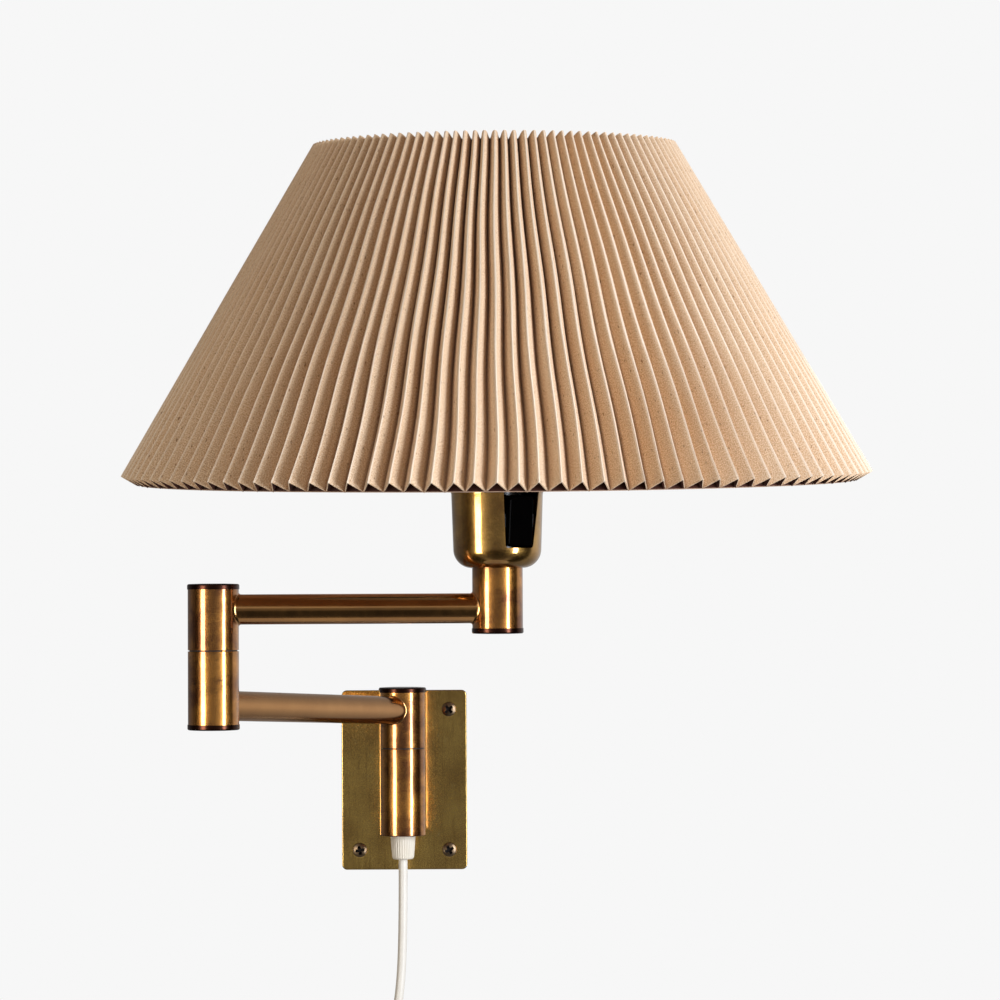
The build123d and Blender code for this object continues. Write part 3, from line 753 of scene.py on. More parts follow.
# The polishing mop ran up and down, so its marks are 1 mm wide and 20 mm long
along = add_node(
    tree, "ShaderNodeMapping", {"Vector": spot.outputs["Object"], "Scale": (1 / 0.001, 1, 1 / 0.02)}
)
marks = add_node(tree, "ShaderNodeTexNoise", {"Vector": along.outputs["Vector"], "Scale": 1, "Detail": 4})
mark_share = add_node(
    tree, "ShaderNodeMapRange", {"Value": marks.outputs["Fac"], "From Min": 0.5, "From Max": 0.8}
)
marked = add_node(
    tree,
    "ShaderNodeMix",
    {"Factor": mark_share.outputs["Result"], MIX_A: tone.outputs[MIX_RESULT], MIX_B: linear("#A47E3A")},
    data_type="RGBA",
)

# %% Dried polish on the plate, and its shine
# Pale spots where polish has dried
bloom = add_node(
    tree, "ShaderNodeTexNoise", {"Vector": spot.outputs["Object"], "Scale": 1 / 0.0045, "Detail": 4}
)
bloom_share = add_node(
    tree,
    "ShaderNodeMapRange",
    {"Value": bloom.outputs["Fac"], "From Min": 0.66, "From Max": 0.78, "To Max": 0.6},
)
bloomed = add_node(
    tree,
    "ShaderNodeMix",
    {
        "Factor": bloom_share.outputs["Result"],
        MIX_A: marked.outputs[MIX_RESULT],
        MIX_B: linear("#E6CE8E"),
    },
    data_type="RGBA",
)
tree.links.new(bloomed.outputs[MIX_RESULT], shader.inputs["Base Color"])
# Polished metal between hairline scratches, 0.14 mm apart
scratches = add_node(
    tree, "ShaderNodeTexNoise", {"Vector": spot.outputs["Object"], "Scale": 1 / 0.00014, "Detail": 0}
)
rough = add_node(
    tree,
    "ShaderNodeMapRange",
    {
        "Value": scratches.outputs["Fac"],
        "From Min": 0.45,
        "From Max": 0.62,
        "To Min": 0.09,
        "To Max": 0.28,
    },
)
tree.links.new(rough.outputs["Result"], shader.inputs["Roughness"])
dents = add_node(
    tree, "ShaderNodeBump", {"Height": marks.outputs["Fac"], "Strength": 0.5, "Distance": 0.00001}
)
tree.links.new(dents.outputs["Normal"], shader.inputs["Normal"])
shader.inputs["Metallic"].default_value = 1
shader.inputs["Coat Weight"].default_value = 0.7
shader.inputs["Coat Roughness"].default_value = 0.07

# %% Cup brass: spun thin, yellow to olive
cup_brass, tree, shader = new_material("spun_cup_brass")
spot = add_node(tree, "ShaderNodeTexCoord")
clouds = add_node(
    tree,
    "ShaderNodeTexNoise",
    {"Vector": spot.outputs["Object"], "Scale": 1 / 0.016, "Detail": 6, "Roughness": 0.6},
)
cloud_share = add_node(
    tree, "ShaderNodeMapRange", {"Value": clouds.outputs["Fac"], "From Min": 0.35, "From Max": 0.68}
)
tone = add_node(
    tree,
    "ShaderNodeMix",
    {"Factor": cloud_share.outputs["Result"], MIX_A: linear("#CFA052"), MIX_B: linear("#966A32")},
    data_type="RGBA",
)
tree.links.new(tone.outputs[MIX_RESULT], shader.inputs["Base Color"])

# %% The cup's shine: hairline scratches, 0.12 mm apart, and rings from the spinning tool, 1.2 mm apart
scratches = add_node(
    tree, "ShaderNodeTexNoise", {"Vector": spot.outputs["Object"], "Scale": 1 / 0.00012, "Detail": 0}
)
rough = add_node(
    tree,
    "ShaderNodeMapRange",
    {
        "Value": scratches.outputs["Fac"],
        "From Min": 0.47,
        "From Max": 0.62,
        "To Min": 0.07,
        "To Max": 0.33,
    },
)
tree.links.new(rough.outputs["Result"], shader.inputs["Roughness"])
rings = add_node(
    tree, "ShaderNodeMapping", {"Vector": spot.outputs["Object"], "Scale": (1, 1, 1 / 0.0012)}
)
ring_marks = add_node(
    tree, "ShaderNodeTexNoise", {"Vector": rings.outputs["Vector"], "Scale": 1, "Detail": 2}
)
spun = add_node(
    tree, "ShaderNodeBump", {"Height": ring_marks.outputs["Fac"], "Strength": 0.6, "Distance": 0.000015}
)
waves = add_node(
    tree, "ShaderNodeTexNoise", {"Vector": spot.outputs["Object"], "Scale": 1 / 0.014, "Detail": 1}
)
wavy = add_node(
    tree,
    "ShaderNodeBump",
    {"Height": waves.outputs["Fac"], "Strength": 1, "Distance": 0.0001, "Normal": spun.outputs["Normal"]},
)
tree.links.new(wavy.outputs["Normal"], shader.inputs["Normal"])
tree.links.new(wavy.outputs["Normal"], shader.inputs["Coat Normal"])
shader.inputs["Metallic"].default_value = 1
shader.inputs["Coat Weight"].default_value = 0.8
shader.inputs["Coat Roughness"].default_value = 0.06

# %% Dark bronze: the caps, chemically darkened and waxed
cap_bronze, tree, shader = new_material("darkened_bronze")
spot = add_node(tree, "ShaderNodeTexCoord")
clouds = add_node(
    tree, "ShaderNodeTexNoise", {"Vector": spot.outputs["Object"], "Scale": 1 / 0.006, "Detail": 6}
)
tone = add_node(
    tree,
    "ShaderNodeMix",
    {"Factor": clouds.outputs["Fac"], MIX_A: linear("#4A2C20"), MIX_B: linear("#2A1712")},
    data_type="RGBA",
)
tree.links.new(tone.outputs[MIX_RESULT], shader.inputs["Base Color"])
rough = add_node(
    tree,
    "ShaderNodeMapRange",
    {"Value": clouds.outputs["Fac"], "From Min": 0.3, "From Max": 0.75, "To Min": 0.16, "To Max": 0.32},
)
tree.links.new(rough.outputs["Result"], shader.inputs["Roughness"])
dents = add_node(
    tree, "ShaderNodeBump", {"Height": clouds.outputs["Fac"], "Strength": 0.5, "Distance": 0.00003}
)
tree.links.new(dents.outputs["Normal"], shader.inputs["Normal"])
shader.inputs["Metallic"].default_value = 1

# %% Turned and plated metals of the works inside, and the screws
metal_finishes = {
    "burnt_screw_brass": ("#9C866A", "#6A5440", 0.3, 0.45),
    "zinc_plated_steel": ("#C4C6C6", "#A5A8AA", 0.24, 0.4),
    "turned_brass": ("#D9B36A", "#C09650", 0.2, 0.32),
    "nickel_cap_metal": ("#C9C5BA", "#AFA99B", 0.18, 0.32),
}
works_metals = {}
for name, (fresh, dull, smooth, coarse) in metal_finishes.items():
    works_metals[name], tree, shader = new_material(name)
    spot = add_node(tree, "ShaderNodeTexCoord")
    clouds = add_node(
        tree, "ShaderNodeTexNoise", {"Vector": spot.outputs["Object"], "Scale": 1 / 0.004, "Detail": 6}
    )
    tone = add_node(
        tree,
        "ShaderNodeMix",
        {"Factor": clouds.outputs["Fac"], MIX_A: linear(fresh), MIX_B: linear(dull)},
        data_type="RGBA",
    )
    tree.links.new(tone.outputs[MIX_RESULT], shader.inputs["Base Color"])
    rough = add_node(
        tree, "ShaderNodeMapRange", {"Value": clouds.outputs["Fac"], "To Min": smooth, "To Max": coarse}
    )
    tree.links.new(rough.outputs["Result"], shader.inputs["Roughness"])
    # Lathe marks 0.3 mm apart run round each turned part
    lathe = add_node(
        tree, "ShaderNodeMapping", {"Vector": spot.outputs["Object"], "Scale": (1, 1, 1 / 0.0003)}
    )
    marks = add_node(
        tree, "ShaderNodeTexNoise", {"Vector": lathe.outputs["Vector"], "Scale": 1, "Detail": 1}
    )
    turned = add_node(
        tree, "ShaderNodeBump", {"Height": marks.outputs["Fac"], "Strength": 0.4, "Distance": 0.00001}
    )
    tree.links.new(turned.outputs["Normal"], shader.inputs["Normal"])
    shader.inputs["Metallic"].default_value = 1
print("metals of the works:", ", ".join(works_metals))

# %% [markdown]
# ## Plastics, enamel and glass
# Phenolic resin is near black and takes a hard gloss from its steel mould. The grip is pale
# nylon, satin and slightly yellowed. The shade's wire frame is white enamel, which pools a
# little, and the bulb is opal glass. They differ in colour, shine and in how fine their
# unevenness is, so they share one cell and a short table.

# %% Moulded and enamelled finishes
plain_finishes = {
    "phenolic_resin": ("#0B0A09", "#171412", 0.16, 0.34, 1.6, 0.002, 0.00002),
    "gloss_switch_phenolic": ("#020202", "#050404", 0.07, 0.16, 1.6, 0.004, 0.00001),
    "ivory_nylon": ("#F1EADB", "#E2D8C4", 0.34, 0.5, 1.53, 0.0015, 0.00003),
    # Thrust washers coloured nearly black: painted shade in the seam gaps between the knuckles
    "seam_shade_washer_nylon": ("#2C231B", "#1F1914", 0.4, 0.55, 1.53, 0.002, 0.00002),
    "white_wire_enamel": ("#ECE8DF", "#DDD7CA", 0.26, 0.4, 1.5, 0.003, 0.00006),
    "white_plug_pvc": ("#EFEAE0", "#E2DCCE", 0.38, 0.5, 1.54, 0.0012, 0.00005),
    # Near black for the screws' cross recesses: old polish, and painted shade in the recess
    "recess_polish_and_shade": ("#0D0806", "#1A100A", 0.7, 0.9, 1.45, 0.0006, 0.00005),
    "opal_glass": ("#F4F1EA", "#EAE6DC", 0.1, 0.16, 1.5, 0.02, 0.00004),
}
plain = {}
for name, (clean, soiled, gloss, satin, bending, grain, depth) in plain_finishes.items():
    plain[name], tree, shader = new_material(name)
    spot = add_node(tree, "ShaderNodeTexCoord")
    grime = add_node(
        tree, "ShaderNodeTexNoise", {"Vector": spot.outputs["Object"], "Scale": 1 / 0.012, "Detail": 5}
    )
    tone = add_node(
        tree,
        "ShaderNodeMix",
        {"Factor": grime.outputs["Fac"], MIX_A: linear(clean), MIX_B: linear(soiled)},
        data_type="RGBA",
    )
    tree.links.new(tone.outputs[MIX_RESULT], shader.inputs["Base Color"])
    skin = add_node(
        tree, "ShaderNodeTexNoise", {"Vector": spot.outputs["Object"], "Scale": 1 / grain, "Detail": 3}
    )
    rough = add_node(
        tree, "ShaderNodeMapRange", {"Value": skin.outputs["Fac"], "To Min": gloss, "To Max": satin}
    )
    tree.links.new(rough.outputs["Result"], shader.inputs["Roughness"])
    dents = add_node(
        tree, "ShaderNodeBump", {"Height": skin.outputs["Fac"], "Strength": 0.5, "Distance": depth}
    )
    tree.links.new(dents.outputs["Normal"], shader.inputs["Normal"])
    shader.inputs["IOR"].default_value = bending
shader_of_switch = plain["gloss_switch_phenolic"].node_tree.nodes["Principled BSDF"]
shader_of_switch.inputs["Specular IOR Level"].default_value = 0.03
print("plain finishes:", ", ".join(plain))

# %% [markdown]
# ## Hub tubes
# All three hubs are cut from one brass tube, 27 mm across. Each length was parted off on a
# lathe, which leaves a small round on its edges. A turned outline gives the tube and its
# rounds at once, and the rounds catch the thin bright line beside each seam.

# %% Outline of a tube's wall


def tube_outline(bore, low, high, edge=0.12):
    """The wall of a hub tube with its two outer edges rounded."""
    return [
        (bore, low),
        *arc(hub_radius - edge, low + edge, edge, -90, 0, 3),
        *arc(hub_radius - edge, high - edge, edge, 0, 90, 3),
        (bore, high),
    ]


# %% The four knuckles
hub_bore = 11.5
for node, axis, body in (
    ("wall_knuckle", wall_axis, "lower_arm"),
    ("elbow_lower_knuckle", elbow_axis, "lower_arm"),
    ("elbow_upper_knuckle", elbow_axis, "upper_arm"),
    ("head_knuckle", head_axis, "upper_arm"),
):
    low, high = size_of(node)
    shape = turn_outline(tube_outline(hub_bore, low.z, high.z), axis)
    knuckle = make_piece(f"{node}_brass", shape, body, hub_brass, (node,))
    print(knuckle.name, "is", round(high.z - low.z, 1), "mm tall")

# %% The fixed sleeve, with a floor for the grip
low, high = size_of("wall_sleeve")
sleeve_outline = [
    (5.0, low.z),
    *arc(hub_radius - 0.6, low.z + 0.6, 0.6, -90, 0, 4),
    *arc(hub_radius - 0.12, high.z - 0.12, 0.12, 0, 90, 3),
    (hub_bore, high.z),
    (hub_bore, low.z + 3),
    (5.0, low.z + 3),
]
shape = turn_outline(sleeve_outline, wall_axis)
make_piece("wall_sleeve_brass", shape, "wall_mount", hub_brass, ("wall_sleeve",))

# %% [markdown]
# ## Caps
# A dark bronze cap closes each open end. It stands 0.3 mm proud of the tube and its lip comes
# down over the edge, so its rim shows as a thin dark band. Its face is very slightly domed,
# and the turned outline runs to the axis, so the dome closes in a point there.

# %% Caps
cap_height, plug_radius, plug_depth = 2.5, 11.4, 4
rim_proud, lip_gap, lip_depth, rim_round = 0.3, 0.02, 0.55, 0.9
for node, axis, body, side in (
    ("wall_cap", wall_axis, "lower_arm", 1),
    ("elbow_top_cap", elbow_axis, "upper_arm", 1),
    ("elbow_bottom_cap", elbow_axis, "lower_arm", -1),
    ("head_cap", head_axis, "upper_arm", -1),
):
    low, high = size_of(node)
    base = high.z - cap_height if side == 1 else low.z + cap_height
    rim = hub_radius + rim_proud
    outline = [
        (0, -plug_depth),
        (plug_radius, -plug_depth),
        (plug_radius, 0.01),
        (hub_radius + lip_gap, 0.01),
        (hub_radius + lip_gap, -lip_depth),
        (rim - 0.05, -lip_depth - 0.05),
        (rim, -lip_depth + 0.05),
        *arc(rim - rim_round, 1.35, rim_round, 0, 78, 6),
        (rim - 3, cap_height - 0.14),
        (rim - 7, cap_height - 0.04),
        (0, cap_height),
    ]
    shape = turn_outline([(radius, base + side * height) for radius, height in outline], axis)
    make_piece(f"{node}_bronze", shape, body, cap_bronze, (node,))

# %% [markdown]
# ## Arms
# Each arm is a tube 16 mm across, set into its hubs and brazed, which leaves a small hollow
# fillet all round the joint. The arm is rolled from a flat grid: each ring of the grid is
# laid at its own distance from the hub's round wall, so the fillet follows the saddle shape
# that two crossing tubes make.

# %% A tube with a brazed fillet at each hub
arm_radius = 8.0
arm_sides = 96


def brazed_arm(start, end, braze):
    """A closed tube between two hub axes, with a hollow fillet where it meets each hub."""
    run = Vector(end) - Vector(start)
    along = run.normalized()
    flat = Vector((along.x, along.y, 0)).normalized()
    across = flat.cross(Vector((0, 0, 1)))
    upward = across.cross(along)
    fillet_steps = [math.radians(15 * step) for step in range(7)]
    half = [(arm_radius + braze, -1.2)]
    half += [(arm_radius + braze * (1 - math.sin(a)), braze * (1 - math.cos(a))) for a in fillet_steps]
    half.append((arm_radius, braze + 1))
    rings = [(radius, off, 1) for radius, off in half]
    rings += [(radius, off, -1) for radius, off in reversed(half)]

    def place(i, j):
        radius, off, way = rings[j]
        turn = 2 * math.pi * i / arm_sides
        a, b = radius * math.cos(turn), radius * math.sin(turn)
        level = way * b * upward.dot(flat)
        reach = (math.sqrt((hub_radius + off) ** 2 - a**2) - level) / along.dot(flat)
        root = Vector(start) + along * reach if way == 1 else Vector(end) - along * reach
        return root + across * a + upward * b

    return close_ends(wrap_grid(arm_sides, len(rings) - 1, place))


# %% Both arms
low, high = size_of("upper_arm_tube")
upper_height = (low.z + high.z) / 2
wall_end_height, elbow_end_height = 41.9, 51.2
lower_start, lower_end = (*wall_axis, wall_end_height), (*elbow_axis, elbow_end_height)
shape = brazed_arm((*elbow_axis, upper_height), (*head_axis, upper_height), braze=1.2)
make_piece("upper_arm_brass", shape, "upper_arm", upper_arm_brass, ("upper_arm_tube",))
shape = brazed_arm(lower_start, lower_end, braze=0.6)
make_piece("lower_arm_brass", shape, "lower_arm", lower_arm_brass, ("lower_arm_tube",))
print("arms run at heights:", round(upper_height, 1), lower_start[2], lower_end[2])

# %% [markdown]
# ## Wall plate
# The plate is 4 mm brass with rounded corners, a small round on its front edge and four
# countersunk holes. A cube is stretched to the plate's box, its upright edges and then the
# rim of its front face are bevelled, and one cutter shape takes out all the holes.

# %% Plate
plate_corner, plate_front_round = 3, 0.6
low, high = size_of("wall_plate")
plate_face = low.y
plate = bmesh.new()
bmesh.ops.create_cube(plate, size=1)
bmesh.ops.scale(plate, verts=plate.verts, vec=high - low)
bmesh.ops.translate(plate, verts=plate.verts, vec=(low + high) / 2)
corners = [edge for edge in plate.edges if abs(edge.verts[0].co.y - edge.verts[1].co.y) > 1]
bmesh.ops.bevel(
    plate, geom=corners, offset=plate_corner, segments=8, profile=0.5, affect="EDGES", material=-1
)
front = min(plate.faces, key=lambda face: face.calc_center_median().y)
rim = front.edges[:]
bmesh.ops.bevel(
    plate, geom=rim, offset=plate_front_round, segments=4, profile=0.5, affect="EDGES", material=-1
)
print("plate measures", [round(v, 1) for v in high - low])

# %% Its holes
screw_across, screw_up = 26.5, 41.5
screw_places = [(x, z) for x in (-screw_across, screw_across) for z in (-screw_up, screw_up)]


def turned_towards_room(outline, x, y, z, steps=48):
    """A turned shape whose axis points straight out of the wall, with its top at y."""
    shape = turn_outline(outline, steps=steps)
    bmesh.ops.rotate(shape, verts=shape.verts, matrix=Matrix.Rotation(math.pi / 2, 3, "X"))
    bmesh.ops.translate(shape, verts=shape.verts, vec=(x, y, z))
    return shape


hole_outline = [(0, -6), (2.6, -6), (2.6, -1.75), (4.75, 0.1), (4.75, 1), (0, 1)]
holes = [turned_towards_room(hole_outline, x, plate_face, z) for x, z in screw_places]
stem_hole = [(0, -6), (3.2, -6), (3.2, -3.35), (6.2, -0.35), (6.2, 1), (0, 1)]
back_hole = turn_outline(stem_hole, steps=48)
bmesh.ops.rotate(back_hole, verts=back_hole.verts, matrix=Matrix.Rotation(-math.pi / 2, 3, "X"))
stem_low, stem_high = size_of("hub_stem")
bmesh.ops.translate(back_hole, verts=back_hole.verts, vec=(0, 0, (stem_low.z + stem_high.z) / 2))
plate = carve(plate, join_shapes(*holes, back_hole))
make_piece(
    "wall_plate_brass", plate, "wall_mount", plate_brass, ("wall_plate",), crease=50
)

# %% [markdown]
# ## Plate screws
# Each screw has a raised countersunk head with a cross recess. Its head has gone brown, and
# the recess is painted nearly black: old polish, and painted shade in its depth. The recess is cut
# with two crossed blades that taper to a point. A spun triangle that climbs as it turns makes the thread.

# %% One screw, pointing out of the wall
thread_pitch, thread_turns, thread_steps = 1.5, 12, 16
blade_size, blade_middle = (7.2, 2.1, 3.6), 0.7


def wood_screw():
    """A screw with its head at the top and its thread running down."""
    outline = [(0, -32), (0.35, -31.6), (2.0, -27), (2.0, -5), (2.25, -5), (2.25, -1.9)]
    outline += [(4.05, -0.12), (4.15, 0), (4.05, 0.16), (3.2, 0.62), (2.0, 0.95), (0.9, 1.08), (0, 1.1)]
    screw = turn_outline(outline, steps=48)
    blades = []
    for quarter in (0, 90):
        blade = bmesh.new()
        bmesh.ops.create_cube(blade, size=1)
        bmesh.ops.scale(blade, verts=blade.verts, vec=blade_size)
        tip = [vert for vert in blade.verts if vert.co.z < 0]
        bmesh.ops.scale(blade, verts=tip, vec=(0.45, 0.6, 1))
        bmesh.ops.translate(blade, verts=blade.verts, vec=(0, 0, blade_middle))
        bmesh.ops.rotate(blade, verts=blade.verts, matrix=Matrix.Rotation(math.radians(quarter), 3, "Z"))
        blades.append(blade)
    for blade in blades:
        screw = carve(screw, blade)
    # The faces of the recess lie under the head's dome, and they take the near-black finish of old polish
    # and painted shade
    for face in screw.faces:
        middle = face.calc_center_median()
        from_axis = math.hypot(middle.x, middle.y)
        if from_axis < 2.8 and -1.25 < middle.z < 1.04 - 0.045 * from_axis**2:
            face.material_index = 1
    thread = bmesh.new()
    crest = [thread.verts.new(place) for place in ((1.9, 0, -26.5), (2.45, 0, -26.15), (1.9, 0, -25.8))]
    profile = thread.faces.new(crest)
    rim = profile.edges[:]
    bmesh.ops.spin(
        thread,
        geom=[profile, *rim, *crest],
        cent=(0, 0, 0),
        axis=(0, 0, 1),
        dvec=(0, 0, thread_pitch / thread_steps),
        angle=2 * math.pi * thread_turns,
        steps=thread_steps * thread_turns,
    )
    bmesh.ops.recalc_face_normals(thread, faces=thread.faces)
    return join_shapes(screw, thread)


# %% Four screws, each left at its own angle
screws = []
for (x, z), left_at in zip(screw_places, (12, 70, 28, 41)):
    screw = wood_screw()
    bmesh.ops.rotate(screw, verts=screw.verts, matrix=Matrix.Rotation(math.radians(left_at), 3, "Z"))
    bmesh.ops.rotate(screw, verts=screw.verts, matrix=Matrix.Rotation(math.pi / 2, 3, "X"))
    bmesh.ops.translate(screw, verts=screw.verts, vec=(x, plate_face, z))
    screws.append(screw)
shape = join_shapes(*screws)
heads = make_piece(
    "plate_screw_heads",
    shape,
    "wall_mount",
    works_metals["burnt_screw_brass"],
    ("plate_screws",),
)
heads.data.materials.append(plain["recess_polish_and_shade"])

# %% [markdown]
# ## Cord grip
# The pale nylon grip under the sleeve clamps the cord. It tapers downwards, has thirty fine
# upright ribs for the fingers, a plain rim at its top and a rounded foot. A grid rolled into a
# tube makes the ribs: each takes four lines of the grid, and the groove between two ribs is a
# third of a millimetre deep.

# %% Ribbed grip
grip_rings = [(-7, 5.0, 0), (0, 5.0, 0), (0, 7.25, 0), (0.25, 7.3, 0), (1.1, 7.3, 0), (1.5, 7.2, 0.6)]
grip_rings += [
    (2.5, 7.15, 1), (7, 6.85, 1), (11.8, 6.45, 1), (12.8, 6.3, 0.9), (13.4, 5.95, 0.4), (13.8, 5.3, 0)
]
grip_rings += [(13.8, 3.2, 0), (13.2, 2.75, 0)]
rib_depth, rib_count, lines_per_rib = 0.36, 30, 4
sleeve_foot = -30.5


def grip_place(i, j):
    """Where one crossing of the grip's grid goes."""
    down, radius, share = grip_rings[j]
    groove = (0, 0.55, 1, 0.55)[i % lines_per_rib]
    turn = 2 * math.pi * i / (rib_count * lines_per_rib)
    depth = radius - share * rib_depth * groove
    return (
        wall_axis[0] + depth * math.sin(turn),
        wall_axis[1] - depth * math.cos(turn),
        sleeve_foot - down,
    )


shape = close_ends(wrap_grid(rib_count * lines_per_rib, len(grip_rings) - 1, grip_place))
make_piece(
    "ribbed_cord_grip", shape, "wall_mount", plain["ivory_nylon"], ("cord_grip",), crease=50
)

# %% [markdown]
# ## Cup with a window
# The cup was spun from sheet over a form: a round shoulder, a wall that flares by a
# millimetre and a small lip. A window for the switch was milled into it. The cup is turned
# from the outline of its wall, and a wedge-shaped cutter opens the window from its lip down.

# %% Cup
cup_low, cup_high = size_of("holder_cup")
cup_foot = cup_low.z
wall = 1.0
cup_outline = [(5.0, 0), (hub_radius - 0.4, 0), *arc(hub_radius, 10, 10, -90, 0, 12)]
cup_outline += [(23.52, 10.6), (24.45, 39.2), (24.6, 40.0), (25.0, 41.2), (25.2, 42.1), (25.05, 42.4)]
cup_outline += [(24.35, 42.4), (24.2, 42.1), (23.5, 39.8), (22.5, 10)]
cup_outline += [*arc(hub_radius, 10, 10 - wall, 0, -90, 8)][1:] + [(5.0, wall)]
cup = turn_outline(cup_outline, steps=180)

# %% Window cutter: narrower at its sill, its right edge more slanted, rounded lower corners
window = bmesh.new()
outline = [(-10.8, 43.4), (-9.3, 11.9), (-8.75, 10.75), (-7.6, 10.3)]
outline += [(6.3, 10.3), (7.45, 10.75), (8.05, 11.9), (13.2, 43.4)]
window_face = window.faces.new([window.verts.new((x, 0, z)) for x, z in outline])
pushed = bmesh.ops.extrude_face_region(window, geom=[window_face])["geom"]
far_verts = [item for item in pushed if isinstance(item, bmesh.types.BMVert)]
cutter_reach = 28
bmesh.ops.translate(window, verts=far_verts, vec=(0, -cutter_reach, 0))
bmesh.ops.recalc_face_normals(window, faces=window.faces)
window_turn = math.radians(34)
bmesh.ops.rotate(window, verts=window.verts, matrix=Matrix.Rotation(window_turn, 3, "Z"))
cup = carve(cup, window)
bmesh.ops.translate(cup, verts=cup.verts, vec=(*head_axis, cup_foot))
make_piece("holder_cup_brass", cup, "upper_arm", cup_brass, ("holder_cup",), crease=30)
print("window faces", round(math.degrees(window_turn)), "degrees to the right")

# %% [markdown]
# ## Rocker switch
# The switch is gloss black phenolic. Its face is flat and sits just inside the cup's round, its
# upper and lower front edges are well rounded, and its foot is pressed in by four degrees. A
# cube with two sizes of bevel is all it needs: wide rounds at the lips, narrow at the sides.

# %% Rocker
rocker_width, rocker_height, rocker_back, rocker_face = 14.8, 27.0, 15.9, 22.9
pin_height, pin_distance = 24.8, 18.1
rocker = bmesh.new()
bmesh.ops.create_cube(rocker, size=1)
bmesh.ops.scale(rocker, verts=rocker.verts, vec=(rocker_width, rocker_face - rocker_back, rocker_height))
bmesh.ops.translate(rocker, verts=rocker.verts, vec=(0, -(rocker_face + rocker_back) / 2, 0))
front_edges = [edge for edge in rocker.edges if all(vert.co.y < -rocker_back - 1 for vert in edge.verts)]
lips = [edge for edge in front_edges if edge.verts[0].co.z == edge.verts[1].co.z]
bmesh.ops.bevel(rocker, geom=lips, offset=2.4, segments=8, profile=0.5, affect="EDGES", material=-1)
sides = [edge for edge in rocker.edges if edge.calc_face_angle(0) > math.radians(60)]
bmesh.ops.bevel(rocker, geom=sides, offset=0.45, segments=3, profile=0.5, affect="EDGES", material=-1)
bmesh.ops.translate(rocker, verts=rocker.verts, vec=(0, 0, pin_height))
pressed_in = Matrix.Rotation(math.radians(4), 3, "X")
bmesh.ops.rotate(rocker, verts=rocker.verts, cent=(0, -pin_distance, pin_height), matrix=pressed_in)
bmesh.ops.rotate(rocker, verts=rocker.verts, matrix=Matrix.Rotation(window_turn, 3, "Z"))
bmesh.ops.translate(rocker, verts=rocker.verts, vec=(*head_axis, cup_foot))
make_piece(
    "black_rocker", rocker, "switch", plain["gloss_switch_phenolic"], ("switch_rocker",)
)

# %% [markdown]
# ## Lampholder and its ring nut
# A black phenolic skirt stands on the cup's lip with a flange. A coarse thread runs up its
# outside, and a black ring nut with grip ribs clamps the shade's frame on it. Both are turned
# or rolled, and the socket and base inside keep their plain solids with their own finishes.

# %% Skirt
skirt_low, skirt_high = size_of("holder_skirt")
cup_top = cup_high.z
skirt_outline = [(14.6, skirt_low.z + 2), (3, skirt_low.z + 2), (3, skirt_low.z), (20, skirt_low.z)]
skirt_outline += [
    (20, cup_top), (24.9, cup_top), *arc(24.4, cup_top + 1.4, 0.8, 0, 90, 4), (20, cup_top + 2.2)
]
thread_start = cup_top + 4
while thread_start < skirt_high.z - 3:
    skirt_outline += [
        (20, thread_start),
        (19.3, thread_start + 0.6),
        (19.3, thread_start + 1.3),
        (20, thread_start + 1.9),
    ]
    thread_start += 2.6
skirt_outline += [
    (20, skirt_high.z - 0.6), (19.4, skirt_high.z), (15.2, skirt_high.z), (14.6, skirt_high.z - 0.6)
]
shape = turn_outline(skirt_outline, head_axis)
make_piece(
    "lampholder_skirt", shape, "upper_arm", plain["phenolic_resin"], ("holder_skirt",)
)

# %% Ring nut with grip ribs
nut_foot = size_of("shade_ring_nut")[0].z
nut_bore, nut_ribs = 20.05, 36
nut_rings = [(nut_bore, 0, 0), (22.8, 0, 0), (23.25, 0.5, 0.6), (23.25, 1.2, 1), (23.25, 4.8, 1)]
nut_rings += [(23.25, 5.5, 0.6), (22.8, 6, 0), (nut_bore, 6, 0), (nut_bore, 0, 0)]


def nut_place(i, j):
    """Where one crossing of the ring nut's grid goes."""
    radius, height, share = nut_rings[j]
    radius -= share * (0, 0.35, 0.5, 0.35)[i % lines_per_rib]
    turn = 2 * math.pi * i / (nut_ribs * lines_per_rib)
    return (
        head_axis[0] + radius * math.sin(turn),
        head_axis[1] - radius * math.cos(turn),
        nut_foot + height,
    )


shape = wrap_grid(nut_ribs * lines_per_rib, len(nut_rings) - 1, nut_place)
bmesh.ops.recalc_face_normals(shape, faces=shape.faces)
make_piece(
    "ribbed_ring_nut", shape, "upper_arm", plain["phenolic_resin"], ("shade_ring_nut",)
)

# %% [markdown]
# ## Bulb
# An ordinary opal bulb with a screw cap. The glass is a ball that runs in a straight line into
# its neck. Its outline is the line and the arc that touch each other, turned round the axis.

# %% Bulb cap
bulb_foot = size_of("bulb_cap")[0].z
cap_outline = [(0, 0), (3.6, 0), (4.8, 0.8), (4.8, 1.4), (8, 2.6), (12.4, 4.8), (12.9, 6)]
for turn in range(5):
    start = 6.6 + 3.2 * turn
    cap_outline += [(12.5, start), (12.9, start + 0.8), (13.2, start + 1.6), (12.9, start + 2.4)]
cap_outline += [(12.6, 22.8), (13.1, 23.4), (13.2, 25), (0, 25)]
shape = turn_outline([(radius, bulb_foot + height) for radius, height in cap_outline], head_axis)
make_piece(
    "bulb_screw_cap", shape, "upper_arm", works_metals["nickel_cap_metal"], ("bulb_cap",)
)

